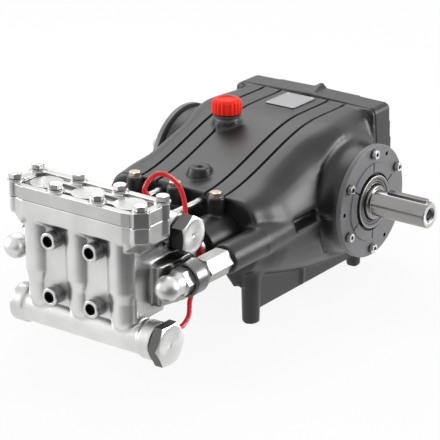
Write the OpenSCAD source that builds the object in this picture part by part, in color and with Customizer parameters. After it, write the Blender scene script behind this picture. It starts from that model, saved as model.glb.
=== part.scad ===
// High-pressure plunger pump: a triplex with a cast crankcase and a stainless fluid head.
// The frame has its origin on the floor, at the centre of the four foot holes.
// +X runs along the crankshaft to the drive end, -Y points to the fluid head, and +Z is up.

/* [Drive line] */
// Distance from one plunger to the next
plunger_pitch = 77; // [72:0.5:82]
// Height of the crankshaft and the plungers above the floor
axis_z = 143.7; // [140:0.1:150]
// Distance of the crankshaft behind the middle of the feet
crank_y = 81; // [75:1:87]
// Diameter of the drive shaft's free end
shaft_d = 42; // [36:0.5:46]
// Diameter of the shaft where the seal runs
journal_d = 55; // [50:0.5:60]
// Distance from the middle of the pump to the end of the shaft
shaft_reach = 290.7; // [270:0.1:310]
// Width of the shaft key
key_w = 12; // [8:0.5:14]
// Height of the shaft key
key_h = 8; // [6:0.5:9]
// Length of the shaft key
key_l = 70; // [40:1:78]
// Diameter of the plungers
plunger_d = 36; // [28:0.5:40]

/* [Crankcase] */
// Distance of the crankcase's front wall in front of the middle of the feet
wall_reach = 172; // [168:1:176]
// Height of the top at the front wall
low_top = 203; // [200:1:208]
// Height of the top over the crankshaft
high_top = 262; // [256:1:268]
// Half width of the level part of the top
top_half = 90; // [86:1:96]
// Half width of the crankcase at its front wall
front_half = 141; // [138:1:146]
// Half width of the crankcase along its sides
side_half = 156; // [152:1:160]
// Distance between the two feet on one end
foot_span_x = 224; // [210:1:232]
// Distance between the front feet and the rear feet
foot_span_y = 288; // [270:1:296]
// Diameter of the front legs at the floor
leg_d = 27; // [25:0.5:32]
// Diameter of the threaded holes in the feet
foot_hole_d = 10.2; // [8:0.1:12]
// Width of the grooves along the top
groove_w = 4.5; // [3:0.5:6]
// Depth of the grooves along the top
groove_depth = 6; // [3:0.5:8]
// Thickness of the crankcase's rear flange
flange_t = 8.5; // [6:0.5:10]
// Depth of the rear cover
rear_depth = 43.5; // [38:0.5:48]

/* [Bearing covers] */
// Outside diameter of the bearing covers
cover_d = 181.4; // [176:0.2:186]
// Distance from the middle of the pump to the outer face of a bearing cover
cover_reach = 184.6; // [182:0.1:190]
// Thickness of the bearing covers
cover_t = 9; // [7:0.5:11]
// Diameter of the circle of cover bolts
cover_pcd = 156; // [150:1:160]
// Diameter of the raised ring on a bearing cover
ring_d = 124; // [118:1:130]
// Diameter of the hub round the shaft seal
hub_d = 85; // [80:1:90]

/* [Fluid head] */
// Distance from the crankcase's front wall to the back of the head
head_gap = 123; // [118:1:128]
// Depth of the head from front to back
head_depth = 136; // [132:1:142]
// Height of the joint between the head and the valve cover
joint_z = 239.7; // [237:0.1:243]
// Thickness of the valve cover
lid_t = 20; // [18:0.5:24]
// Distance between the two rows of cover bolts
lid_bolt_gap = 51.2; // [48:0.2:54]
// Diameter of the valve columns above their waist
column_d = 47; // [44:0.5:50]
// Diameter of the valve columns below their waist
column_low_d = 40; // [36:0.5:42]
// Height of the upper head screws above the plungers
screw_rise = 44.6; // [42:0.1:50]
// Depth of the lower head screws below the plungers
screw_fall = 41.8; // [38:0.1:46]
// Height of the inlet tube's centre above the floor
inlet_z = 59.8; // [56:0.1:64]
// Outside diameter of the inlet tube
inlet_d = 52; // [48:0.5:56]
// Height of the outlet gallery's centre above the floor
outlet_z = 197.6; // [194:0.1:202]
// Distance of the outlet gallery in front of the back of the head
outlet_in = 17; // [13:1:21]
// Radius of the inlet port's threaded bore
inlet_bore_r = 19; // [15:0.5:21]
// Radius of the outlet port's threaded bore
outlet_bore_r = 12; // [9:0.5:14]

/* [Tie rods] */
// Distance of the tie rods from the middle of the pump
rod_x = 140.9; // [136:0.1:146]
// Width across flats of the hexagonal spacers
spacer_af = 36; // [32:0.5:40]
// Diameter of the domes on the cap nuts
dome_d = 38.5; // [34:0.5:40]
// Diameter of the ears on the head
ear_d = 53; // [50:0.5:56]
// Diameter of the rod bosses on the crankcase
boss_d = 48; // [44:0.5:52]

/* [Fittings] */
// Diameter of the oil filler cap
cap_d = 48; // [42:1:54]
// Height of the oil filler cap
cap_h = 25; // [20:1:30]
// Number of grip ribs on the oil filler cap
cap_ribs = 20; // [12:1:24]
// Outside diameter of the flushing hose
hose_d = 7.5; // [5:0.5:9]

/* [Hidden] */
$fn = 64;
eps = 0.01;
seat_gap = 0.3;
run_gap = 0.05;

// Colours, as the real finishes look
paint = [0.17, 0.17, 0.18];
cast_steel = [0.72, 0.72, 0.71];
turned_steel = [0.80, 0.80, 0.80];
zinc = [0.70, 0.66, 0.55];
cap_red = [0.86, 0.12, 0.08];
hose_red = [0.85, 0.06, 0.08];
black_rubber = [0.06, 0.06, 0.06];

head_rear = -wall_reach - head_gap;
head_reach = -head_rear + head_depth;

// Crankcase
s_start = -wall_reach - 8;
s_end = crank_y - 1;
rear_wall_y = 157;
shoulder_steps = 9;
belly_steps = 6;
section_step = 20;
housing_d = cover_d - 10;
housing_reach = cover_reach - cover_t;
flare_x = 18;
flare_r = 14.3;
flare_foot = 137;
recess_d = housing_d + 2 * flare_r + 1;
groove_x = [46.4, 79];
groove_front = -wall_reach - 5;
groove_rear = rear_wall_y + flange_t - 1.5;
lift_y = -123;
lift_d = 40;
lift_top_d = 32;
lift_h = 12;
lift_hole_r = 5.1;
lift_hole_depth = 22;

boss_front = -wall_reach - 85;
boss_root = 20;
lobe_d = 52;
lobe_end_d = 42;
lobe_l = 80;
rib_z = 140;
rib_t = 4;
rib_rise = 5;
rib_l = 102;
pocket_depth = 20;
pocket_l = 66;
pocket_h = 16;
leg_taper = 5;
leg_h = 92;
rear_leg_d = leg_d - 4;
rear_leg_h = 60;
web_t = 8;
web_z = 16.5;
web_rear_h = 46;
web_front_h = 68;
foot_hole_depth = 25;
gusset_t = 20;
gusset = [[1, leg_h + 8], [1, 61], [-3, 64.5], [-15, 62], [-16, 66], [-26, 76], [-34, 86], [-34, leg_h + 8]];
lift_sink = 8;
filler_d = cap_d - 4;
filler_sink = 12;
screw_root = 18;
shaft_start = 121;

function ease(u) = let (v = min(max(u, 0), 1)) v * v * (3 - 2 * v);
function mix(a, b, u) = a + (b - a) * u;
function top_z(y) = mix(low_top, high_top, ease((y - s_start) / (s_end - s_start)));
function half_w(y) = mix(front_half, side_half, ease((y + wall_reach) / 60))
    - (side_half - 138) * ease((y - 60) / 90);
function belly_z(y) = mix(86, 34, sin(90 * min(1, (y + wall_reach) / 262)));
belly_half = 108;
widest_z = 128;
// The shoulders are square at the front wall, round off behind it and square up again to the rear
function squareness(y) = mix(3.2, 2, ease((y + wall_reach) / 90)) + 1.5 * ease((y + 10) / 90);

// One cross-section of the crankcase, right half first and from the top down
function right_side(y) = concat(
    [[0, top_z(y)], [top_half, top_z(y)]],
    [for (k = [1 : shoulder_steps]) let (a = 90 * k / shoulder_steps, p = 2 / squareness(y))
        [mix(top_half, half_w(y), pow(sin(a), p)), mix(widest_z, top_z(y), pow(max(cos(a), 0), p))]],
    [for (k = [1 : belly_steps]) let (a = 90 * k / belly_steps)
        [mix(belly_half, half_w(y), cos(a)), mix(widest_z, belly_z(y), sin(a))]],
    [[0, belly_z(y)]]);
function section_ring(y) = let (r = right_side(y), n = len(r))
    concat([for (q = r) [q[0], y, q[1]]], [for (k = [n - 2 : -1 : 1]) [-r[k][0], y, r[k][1]]]);

module along_x(x, y, z, d, l) translate([x, y, z]) rotate([0, 90, 0]) cylinder(d = d, h = l);
module along_y(x, y, z, d, l) translate([x, y, z]) rotate([-90, 0, 0]) cylinder(d = d, h = l);
module both_sides() {
    children();
    mirror([1, 0, 0]) children();
}

// A hexagonal head with its crown turned to a chamfer, standing on Z = 0
module hex_head(af, h) {
    crown = af / 2 * 0.97;
    intersection() {
        cylinder(d = af / cos(30), h = h, $fn = 6);
        rotate_extrude()
            polygon([[0, 0], [af, 0], [af, h - (af - crown) * 0.35], [crown, h], [0, h]]);
    }
}

// Hexagon bolt with its washer face, standing on Z = 0
module hex_bolt(af, h, washer_d, washer_h) {
    cylinder(d = washer_d, h = washer_h);
    translate([0, 0, washer_h - eps]) hex_head(af, h - washer_h + eps);
}

module loft() {
    ys = [for (k = [0 : 17]) min(-wall_reach + k * section_step, rear_wall_y + 1)];
    rings = [for (y = ys) section_ring(y)];
    n = len(rings[0]);
    m = len(ys);
    polyhedron(
        points = [for (r = rings) for (q = r) q],
        faces = concat(
            [[for (k = [0 : n - 1]) k]],
            [for (j = [0 : m - 2]) for (k = [0 : n - 1])
                let (k2 = (k + 1) % n) [j * n + k, (j + 1) * n + k, (j + 1) * n + k2]],
            [for (j = [0 : m - 2]) for (k = [0 : n - 1])
                let (k2 = (k + 1) % n) [j * n + k, (j + 1) * n + k2, j * n + k2]],
            [[for (k = [n - 1 : -1 : 0]) (m - 1) * n + k]]));
}

// Bearing housing on the drive side, with the cast fillet where it leaves the wall
module housing() {
    r = housing_d / 2;
    translate([0, crank_y, axis_z]) rotate([0, 90, 0])
        rotate_extrude()
            polygon(concat([[0, 60], [r + flare_r, 60], [r + flare_r, flare_foot]],
                [for (k = [1 : 6]) let (a = 15 * k)
                    [r + flare_r * (1 - sin(a)), flare_foot + flare_x * (1 - cos(a))]],
                [[r, housing_reach], [0, housing_reach]]));
}

module top_groove(x) {
    steps = 24;
    ys = [for (k = [0 : steps]) mix(groove_front, groove_rear, k / steps)];
    translate([x - groove_w / 2, 0, 0]) rotate([90, 0, 90]) linear_extrude(groove_w)
        polygon(concat([for (y = ys) [y, top_z(y) - groove_depth]],
            [for (k = [steps : -1 : 0]) [ys[k], top_z(ys[k]) + 20]]));
}

// Two legs of one side with the web between them and the front gusset
module legs(x) {
    front_y = -foot_span_y / 2;
    translate([x, front_y, 0]) cylinder(d1 = leg_d, d2 = leg_d + leg_taper, h = leg_h);
    translate([x, -front_y, 0]) cylinder(d = rear_leg_d, h = rear_leg_h);
    translate([x - web_t / 2, front_y, web_z]) cube([web_t, foot_span_y, web_rear_h]);
    translate([x - web_t / 2, front_y, web_z]) cube([web_t, foot_span_y / 2, web_front_h]);
    translate([x + web_t / 2, -12, web_z + 2]) cylinder(d = web_t + 1, h = web_rear_h - 2);
    translate([x, -wall_reach + gusset_t, 0]) rotate([90, 0, 0]) linear_extrude(gusset_t)
        polygon(gusset);
}

module crankcase() {
    color(paint) difference() {
        union() {
            difference() {
                loft();
                both_sides() along_x(flare_foot, crank_y, axis_z, recess_d, 60);
            }
            both_sides() intersection() {
                housing();
                translate([0, -100, 0]) cube([400, 100 + cover_front, 400]);
            }
            rear_flange();
            both_sides() {
                along_y(rod_x, boss_front, axis_z, boss_d, -wall_reach - boss_front + boss_root);
                translate([rod_x - 1, -wall_reach, axis_z]) rotate([-90, 0, 0])
                    cylinder(d1 = lobe_d, d2 = lobe_end_d, h = lobe_l);
                legs(foot_span_x / 2);
                side_rib();
            }
            translate([0, lift_y, top_z(lift_y) - lift_sink])
                cylinder(d1 = lift_d, d2 = lift_top_d, h = lift_h + lift_sink);
            translate([cap_x, cap_y, cap_z - filler_sink]) cylinder(d = filler_d, h = filler_sink + filler_h);
            plate_box(0.5, pad_h + 5, high_top - 5);
        }
        both_sides() side_pocket();
        for (x = groove_x) both_sides() top_groove(x);
        for (x = [-1, 1], y = [-1, 1])
            translate([x * foot_span_x / 2, y * foot_span_y / 2, -1])
                cylinder(d = foot_hole_d, h = foot_hole_depth + 1);
        translate([0, lift_y, top_z(lift_y) + lift_h - lift_hole_depth])
            cylinder(r = lift_hole_r, h = lift_hole_depth + 5);
        along_x(shaft_start - 1, crank_y, axis_z, journal_d + 2 * run_gap, 80);
        for (x = [-0.5, 0.5], z = [axis_z + screw_rise, axis_z - screw_fall])
            along_y(x * plunger_pitch, -wall_reach - 5, z, screw_end_d, screw_root + 5);
    }
}

// Stiffening rib between the lobe and the bearing housing, with the pocket above it
module side_rib() {
    translate([side_half - 14, -wall_reach + lobe_l - 6, rib_z - rib_t]) cube([14 + rib_rise, rib_l, rib_t]);
}
module side_pocket() {
    translate([side_half - pocket_depth, -wall_reach + lobe_l + 1, rib_z])
        cube([60, pocket_l, pocket_h]);
}

rear_half = 133.5;
rear_belly = 138;
rear_belly_z = [190, 100];
rear_top = high_top + 4.3;
rear_crown = 3.5;
rear_low = 44;
rear_corner = 10;
low_corner = 18;
flange_top = high_top + 1;
cover_front = rear_wall_y + flange_t;
cover_rear = cover_front + rear_depth;
lug_h = 7;
lug_l = 37;

// Right half of the outline of the rear flange and of the cover on it
rear_side = concat(
    [for (k = [0 : 6]) [rear_half - rear_corner + rear_corner * sin(15 * k),
        rear_top - rear_crown - rear_corner + rear_corner * cos(15 * k)]],
    [for (z = rear_belly_z) [rear_belly, z]],
    [for (k = [0 : 6]) [rear_half - low_corner + low_corner * cos(15 * k),
        rear_low + low_corner - low_corner * sin(15 * k)]]);
module rear_outline() {
    n = len(rear_side);
    polygon(concat([[0, rear_top]], rear_side,
        [for (k = [n - 1 : -1 : 0]) [-rear_side[k][0], rear_side[k][1]]]));
}
module rear_plate(y, t) {
    translate([0, y + t, 0]) rotate([90, 0, 0]) linear_extrude(t) rear_outline();
}
module rear_flange() {
    intersection() {
        rear_plate(rear_wall_y, flange_t);
        translate([-200, 0, 0]) cube([400, 300, flange_top]);
    }
}

module rear_cover() {
    color(paint) {
        rear_plate(cover_front, rear_depth);
        intersection() {
            translate([0, cover_rear, rear_top]) rotate([90, 0, 0]) linear_extrude(lug_l)
                polygon([[-9, -4], [-7, 0], [2, lug_h], [5, lug_h], [11.5, 0], [14, -4]]);
            translate([-20, cover_rear - lug_l, rear_top]) rotate([90, 0, 90]) linear_extrude(50)
                polygon([[0, -4], [lug_l, -4], [lug_l, lug_h], [0, 0]]);
        }
    }
}

rear_bolt_af = 13;
rear_bolt_in = 17;
rear_bolt_z = [rear_low + 18, rear_low + 64, rear_top - 94.3, rear_top - 20];
rear_bolt_at = [for (x = [-1, 1], z = rear_bolt_z) [x * (rear_half - rear_bolt_in), z]];
module rear_cover_bolts() {
    color(turned_steel) for (q = rear_bolt_at)
        translate([q[0], cover_rear, q[1]]) rotate([-90, 0, 0])
            hex_bolt(rear_bolt_af, 9, rear_bolt_af + 4, 1.5);
}

sight_z = 120;
sight_d = 38;
drain_z = 68;
module sight_glass() {
    color([0.75, 0.75, 0.72]) translate([0, cover_rear, sight_z])
        rotate([-90, 0, 0]) difference() {
            cylinder(d = sight_d, h = 7);
            translate([0, 0, 5]) cylinder(d = sight_d - 12, h = 5);
        }
}
module drain_plug() {
    color(turned_steel) translate([0, cover_rear, drain_z]) rotate([-90, 0, 0])
        hex_bolt(22, 12, 29, 2.5);
}

cover_bolt_af = 13;
cover_bolt_at = [for (k = [0 : 5]) 60 * k];
jack_at = [30, 150, 270];
jack_pcd = cover_pcd + 2;
jack_d = 6.8;

// Bearing cover for the +X side: flange, raised ring split by six grooves, and hub
module bearing_cover(shaft_hole) {
    x0 = housing_reach;
    ring_h = 2;
    translate([x0, crank_y, axis_z]) rotate([0, 90, 0]) difference() {
        union() {
            cylinder(d1 = cover_d, d2 = cover_d, h = cover_t - 1.5);
            translate([0, 0, cover_t - 1.5]) cylinder(d1 = cover_d, d2 = cover_d - 3, h = 1.5);
            translate([0, 0, cover_t - eps]) cylinder(d = ring_d, h = ring_h);
            translate([0, 0, cover_t]) cylinder(d = hub_d, h = ring_h + 3);
        }
        for (a = cover_bolt_at) rotate([0, 0, a])
            translate([hub_d / 2 + 1, -1, cover_t - 1]) cube([(ring_d - hub_d) / 2 + 2, 2, 10]);
        for (a = jack_at) rotate([0, 0, a]) translate([jack_pcd / 2, 0, -1])
            cylinder(d = jack_d, h = 20);
        if (shaft_hole) {
            translate([0, 0, -1]) cylinder(d = journal_d + 2 * run_gap, h = 30);
            translate([0, 0, cover_t - 2]) cylinder(d = seal_d, h = 30);
        }
    }
}
seal_d = 72;
seal_t = 6;
module drive_bearing_cover() color(paint) bearing_cover(true);
module blind_bearing_cover() color(paint) mirror([1, 0, 0]) bearing_cover(false);

module bearing_bolts() {
    translate([cover_reach, crank_y, axis_z]) rotate([0, 90, 0])
        for (a = cover_bolt_at) rotate([0, 0, a + 180]) translate([cover_pcd / 2, 0, 0])
            hex_bolt(cover_bolt_af, 8, cover_bolt_af + 4, 1.5);
}
module drive_cover_bolts() color(turned_steel) bearing_bolts();
module blind_cover_bolts() color(turned_steel) mirror([1, 0, 0]) bearing_bolts();

module shaft_seal() {
    color(black_rubber) translate([cover_reach - 2, crank_y, axis_z]) rotate([0, 90, 0]) difference() {
        cylinder(d = seal_d, h = seal_t);
        translate([0, 0, -1]) cylinder(d = journal_d + 2 * run_gap, h = seal_t + 2);
        translate([0, 0, seal_t - 1.5]) cylinder(d1 = journal_d + 2, d2 = seal_d - 6, h = 2);
    }
}

journal_end = cover_reach + 9;
shaft_chamfer = 1.5;
thread_d = 17.5;
thread_l = 40;
key_start = shaft_reach - 6 - key_l;
module drive_shaft() {
    r = shaft_d / 2;
    j = journal_d / 2;
    color(turned_steel) translate([0, crank_y, axis_z]) rotate([0, 90, 0]) difference() {
        rotate_extrude() polygon([[0, shaft_start], [j, shaft_start], [j, journal_end - 2],
            [j - 2, journal_end], [r, journal_end], [r, shaft_reach - shaft_chamfer], [r - shaft_chamfer, shaft_reach],
            [0, shaft_reach]]);
        translate([0, 0, shaft_reach - thread_l]) cylinder(d = thread_d, h = thread_l + 1);
        translate([0, 0, shaft_reach - 3.5]) cylinder(d1 = thread_d, d2 = thread_d + 7, h = 3.51);
        translate([-r - 5, -key_w / 2, key_start]) cube([10, key_w, key_l]);
    }
}
module shaft_key() {
    r = shaft_d / 2;
    color(turned_steel) translate([key_start, crank_y - key_w / 2, axis_z + r - 5])
        cube([key_l, key_w, key_h]);
}

guide_x = [-plunger_pitch, 0, plunger_pitch];
guide_d = 74;
guide_front = -wall_reach - 70;
post_y = -wall_reach - 14;
post_d = 25;
post_top = axis_z + 64.3;
bolt_top = post_top + 7.6;
guide_bolt_af = 17;
module guide(x) {
    color(paint) difference() {
        union() {
            along_y(x, guide_front, axis_z, guide_d, -wall_reach - guide_front);
            translate([x, post_y, axis_z]) cylinder(d = post_d, h = post_top - axis_z);
        }
        along_y(x, guide_front - 1, axis_z, plunger_d + 2 * seat_gap, 40);
    }
}
module guide_left() guide(guide_x[0]);
module guide_middle() guide(guide_x[1]);
module guide_right() guide(guide_x[2]);
module guide_bolts() {
    color(zinc) for (x = guide_x) translate([x, post_y, post_top])
        hex_bolt(guide_bolt_af, bolt_top - post_top, guide_bolt_af + 2, 1.5);
}

gland_d = 62;
gland_rear = guide_front - 10;
module gland(x) {
    color(turned_steel) difference() {
        along_y(x, head_rear, axis_z, gland_d, gland_rear - head_rear);
        along_y(x, head_rear - 1, axis_z, plunger_d + 2 * seat_gap, 100);
    }
}
module gland_left() gland(guide_x[0]);
module gland_middle() gland(guide_x[1]);
module gland_right() gland(guide_x[2]);
module plunger(x) {
    color([0.85, 0.85, 0.83]) along_y(x, head_rear, axis_z, plunger_d, guide_front + 38 - head_rear);
}
module plunger_left() plunger(guide_x[0]);
module plunger_middle() plunger(guide_x[1]);
module plunger_right() plunger(guide_x[2]);

// Fluid head
lid_bolt_x = [-1.5 * plunger_pitch, -0.5 * plunger_pitch, 0.5 * plunger_pitch, 1.5 * plunger_pitch];
lid_front_bolt = -head_reach + 14.2;
lid_rear_bolt = lid_front_bolt + lid_bolt_gap;
lid_rear = lid_rear_bolt + 14;
lid_half = 1.5 * plunger_pitch + 8;
lid_rise = 2.5;
lid_bolt_af = 17;
front_half_w = 91;
corner_d = 27;
corner_flat = 8.5;
column_y = -head_reach + column_d / 2;
column_low = 68;
waist_z = axis_z - 12;
recess_y = -head_reach + 11;
side_y = recess_y + 8;
recess_top = 202;
overhang_z = joint_z - 27.5;
body_half = 100.5;
screw_d = 16;
screw_head_d = 27;
screw_front = -head_reach - 8;
screw_waist_d = 11.5;
screw_end_d = 13;
inlet_y = -head_reach + 37;
inlet_half = 131;
inlet_collar = 22;
inlet_plug_af = 60;
inlet_plug_t = 19.3;
outlet_y = head_rear - outlet_in;
gallery_d = 54;
gallery_half = 104;
seat_t = 4;
outlet_plug_af = 52;
outlet_plug_t = 23;
ear_front = head_rear - 57;
ear_rear = head_rear - 21;
ear_l = ear_rear - ear_front;
rod_d = 24;
fitting_x = 57;
fitting_z = outlet_z + 28.4;
block_half = 118;
block_front = head_rear - 82;
block_low = 103;
block_top = 166;
post_h = 24.5;
body_low = 85;
body_rear = head_rear - 50;
body_h = joint_z - 5 - body_low;
slope_y = -400;
slope_z = joint_z - 49;
slope_fall = 0.77;
slope_rise = 27;

// Plan of the cover and of the head's top, with its four corner posts
module lid_plan() {
    y0 = -head_reach;
    polygon([[-front_half_w, y0], [front_half_w, y0], [front_half_w + 14, y0 + 3],
        [lid_half - 4, lid_front_bolt - 4], [lid_half, lid_front_bolt + 6],
        [lid_half, lid_rear_bolt], [lid_half - 6, lid_rear], [-lid_half + 6, lid_rear],
        [-lid_half, lid_rear_bolt], [-lid_half, lid_front_bolt + 6],
        [-lid_half + 4, lid_front_bolt - 4], [-front_half_w - 14, y0 + 3]]);
}
module corner_posts() {
    for (x = [-1, 1], y = [-1, 1])
        translate([x * lid_bolt_x[3], y > 0 ? lid_rear_bolt : lid_front_bolt]) intersection() {
            circle(d = corner_d);
            rotate(45 * (x > 0 ? y : 4 - y)) translate([corner_flat - 50, -50]) square([50, 100]);
        }
}

module column(x) {
    translate([x, column_y, waist_z]) cylinder(d = column_d, h = joint_z - waist_z - 5);
    translate([x, column_y, waist_z - 16]) cylinder(d1 = column_low_d, d2 = column_d, h = 16);
    translate([x, column_y, column_low + column_low_d / 2]) cylinder(d = column_low_d, h = 60);
    translate([x, column_y, column_low + column_low_d / 2]) sphere(d = column_low_d);
}

module head_block() {
    color(cast_steel) difference() {
        union() {
            translate([0, 0, overhang_z]) linear_extrude(joint_z - overhang_z) lid_plan();
            translate([0, 0, joint_z - post_h]) linear_extrude(post_h) corner_posts();
            translate([-body_half, side_y, body_low]) cube([2 * body_half, body_rear - side_y, body_h]);
            translate([-plunger_pitch, recess_y, body_low]) cube([2 * plunger_pitch, 20, body_h]);
            overhang();
            for (x = guide_x) column(x);
            both_sides() side_slope();
            rear_block();
            both_sides() translate([rod_x, ear_front, axis_z]) rotate([-90, 0, 0]) rotate_extrude()
                polygon([[0, 0], [ear_d / 2, 0], [ear_d / 2, ear_l - 10], [ear_d / 2 - 5, ear_l], [0, ear_l]]);
            // Outlet gallery
            along_x(-gallery_half, outlet_y, outlet_z, gallery_d, 2 * gallery_half);
            translate([-gallery_half + 8, outlet_y - 40, outlet_z - gallery_d / 2])
                cube([2 * gallery_half - 16, 40, 45]);
            translate([fitting_x, outlet_y - 10, outlet_z]) cylinder(d = 19, h = fitting_z - outlet_z);
            // Inlet tube with its collars, and the web up to the columns
            along_x(-inlet_half, inlet_y, inlet_z, inlet_d, 2 * inlet_half);
            both_sides() along_x(inlet_half - inlet_collar, inlet_y, inlet_z, inlet_d + 6, inlet_collar);
            translate([-body_half + 6, inlet_y - 16, inlet_z]) cube([2 * body_half - 12, 34, 40]);
        }
        both_sides() along_y(rod_x, ear_front - 1, axis_z, ear_d - 8, 5);
        for (x = [-0.5, 0.5], z = [axis_z + screw_rise, axis_z - screw_fall])
            along_y(x * plunger_pitch, -500, z, screw_d + 2 * seat_gap, 300);
        both_sides() along_y(rod_x, -500, axis_z, rod_d + 2 * seat_gap, 300);
        along_x(-inlet_half - 1, inlet_y, inlet_z, 2 * inlet_bore_r, 60);
        along_x(-gallery_half - 1, outlet_y, outlet_z, 2 * outlet_bore_r, 40);
    }
}
// Underside of the top's front edge, sloping down to the wall between the columns
module overhang() {
    translate([-front_half_w, 0, 0]) rotate([90, 0, 90]) linear_extrude(2 * front_half_w)
        polygon([[-head_reach + 0.4, overhang_z + 1], [-head_reach + 0.4, overhang_z],
            [recess_y + 1, recess_top], [recess_y + 1, overhang_z + 1]]);
}
// Underside of the top along one side: it slopes in to the wall, and rises to the front corner
module slope_bar(rise) {
    translate([0, slope_y, slope_z]) rotate([-rise, 0, 0]) rotate([90, 0, 0]) linear_extrude(160, center = true)
        polygon([[95, -slope_fall * 5.5], [140, slope_fall * 39.5], [140, 70], [95, 70]]);
}
module side_slope() {
    intersection() {
        slope_bar(0);
        slope_bar(slope_rise);
        translate([0, 0, slope_z - 20]) linear_extrude(60) lid_plan();
    }
}
// Block round the plunger bores, its underside dropping towards the crankcase
module rear_block() {
    translate([-block_half, 0, 0]) rotate([90, 0, 90]) linear_extrude(2 * block_half)
        polygon([[block_front, block_low], [head_rear, block_low - 9], [head_rear, block_top],
            [block_front, block_top]]);
    translate([-100, block_front, block_low]) cube([200, head_rear - block_front, block_top + 22 - block_low]);
}

module valve_cover() {
    disc_d = 50;
    pad_d = 25;
    pocket = 4;
    pocket_w = 54;
    pocket_half = lid_half - 14;
    bar_w = 10;
    mid_y = (lid_front_bolt + lid_rear_bolt) / 2;
    color(cast_steel) translate([0, 0, joint_z]) difference() {
        union() {
            linear_extrude(lid_t) lid_plan();
            linear_extrude(lid_t + lid_rise) corner_posts();
            for (x = [lid_bolt_x[1], lid_bolt_x[2]], y = [lid_front_bolt, lid_rear_bolt])
                translate([x, y, 0]) cylinder(d = pad_d, h = lid_t + lid_rise);
        }
        difference() {
            translate([-pocket_half, mid_y - pocket_w / 2, lid_t - pocket])
                cube([2 * pocket_half, pocket_w, 20]);
            for (x = [lid_bolt_x[1], lid_bolt_x[2]], y = [lid_front_bolt, lid_rear_bolt])
                translate([x, y, 0]) cylinder(d = pad_d, h = 60);
            for (x = [lid_bolt_x[0], lid_bolt_x[3]], y = [lid_front_bolt, lid_rear_bolt])
                translate([x, y, 0]) cylinder(d = corner_d, h = 60);
            for (x = guide_x) translate([x, mid_y, 0]) cylinder(d = disc_d, h = lid_t - 1);
            for (s = [-1, 1])
                translate([-plunger_pitch, mid_y + s * 13 - bar_w / 2, 0])
                    cube([2 * plunger_pitch, bar_w, lid_t - 1]);
        }
    }
}
module lid_bolts() {
    color(turned_steel) for (x = lid_bolt_x, y = [lid_front_bolt, lid_rear_bolt])
        translate([x, y, joint_z + lid_t + lid_rise]) hex_bolt(lid_bolt_af, 10, lid_bolt_af + 6, 3);
}

module head_screws() {
    color(turned_steel) for (x = [-0.5, 0.5], z = [axis_z + screw_rise, axis_z - screw_fall])
        translate([x * plunger_pitch, screw_front, z]) rotate([-90, 0, 0]) difference() {
            union() {
                cylinder(d = screw_head_d, h = recess_y - screw_front);
                cylinder(d = screw_d, h = head_rear - screw_front);
                cylinder(d = screw_waist_d, h = -wall_reach + screw_root - screw_front);
                translate([0, 0, -wall_reach - 30 - screw_front])
                    cylinder(d = screw_end_d, h = 30 + screw_root);
            }
            translate([0, 0, -1]) cylinder(d = 14 / cos(30), h = 10, $fn = 6);
        }
}

module spacer() {
    color(turned_steel) {
        along_y(rod_x, ear_rear, axis_z, spacer_af - 2, 4);
        translate([rod_x, ear_rear + 4 - eps, axis_z]) rotate([-90, 0, 0])
            cylinder(d = spacer_af / cos(30), h = boss_front - ear_rear - 4, $fn = 6);
    }
}
module spacer_right() spacer();
module spacer_left() mirror([1, 0, 0]) spacer();

module cap_nut() {
    nut_y = ear_front + 4;
    nut_l = 61.2;
    color(turned_steel) {
        along_y(rod_x, ear_front - 10, axis_z, rod_d, -ear_front + ear_rear + 10 - seat_gap);
        translate([rod_x, nut_y, axis_z]) rotate([90, 0, 0]) {
            hex_head(spacer_af, 19);
            cylinder(d = dome_d - 3, h = nut_l - dome_d / 2);
            translate([0, 0, nut_l - dome_d / 2]) sphere(d = dome_d);
        }
    }
}
module cap_nut_right() cap_nut();
module cap_nut_left() mirror([1, 0, 0]) cap_nut();

module inlet_plug() {
    color(turned_steel) translate([inlet_half, inlet_y, inlet_z]) rotate([0, 90, 0]) {
        cylinder(d = inlet_plug_af - 8, h = 2);
        translate([0, 0, 2 - eps]) rotate([0, 0, 30]) hex_head(inlet_plug_af, inlet_plug_t - 2);
    }
}
module outlet_seat() {
    color(black_rubber) along_x(gallery_half, outlet_y, outlet_z, gallery_d - 4, seat_t);
}
module outlet_plug() {
    color(turned_steel) translate([gallery_half + seat_t, outlet_y, outlet_z]) rotate([0, 90, 0])
        hex_head(outlet_plug_af, outlet_plug_t);
}

// Flushing hose, from the fitting behind the valve cover to the one behind the inlet tube
hose_top = [fitting_x, outlet_y - 10, fitting_z];
hose_low = [115, inlet_y, inlet_z];
hose_points = concat(
    [for (q = [[0, 0, 10], [-1, -2, 21], [-2.5, -7.7, 29], [-0.5, -4.2, 39.1], [3.7, 1.2, 46.9],
        [9, 6, 52.3], [13, 12.7, 52.4], [17, 19.3, 49.4], [20, 27.2, 43.6], [23.8, 36.3, 32.5],
        [25.7, 42.1, 21.9], [26.9, 45.1, 12.1], [28.2, 46.8, 2.6], [29.3, 47.1, -6.6],
        [30.4, 47.1, -15.6], [35, 50, -31], [43, 53, -48], [52, 54, -66]]) hose_top + q],
    [for (q = [[-1, 124, 84.2], [-3, 120, 68.2], [-6, 115, 52.2], [-8, 109, 36.2], [-7.5, 101, 23.2],
        [-5.5, 97.5, 13.7], [-3, 92.6, 4.8], [-1.6, 83.5, -1.5], [-0.7, 73, -5.3], [0, 60, -3.3],
        [0, 48, 0]]) hose_low + q]);
function catmull(a, b, c, d, u) = 0.5 * (2 * b + (c - a) * u + (2 * a - 5 * b + 4 * c - d) * u * u
    + (3 * b - a - 3 * c + d) * u * u * u);
hose_sides = 10;
hose_sub = 3;
function hose_at(i) = hose_points[min(max(i, 0), len(hose_points) - 1)];
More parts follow.
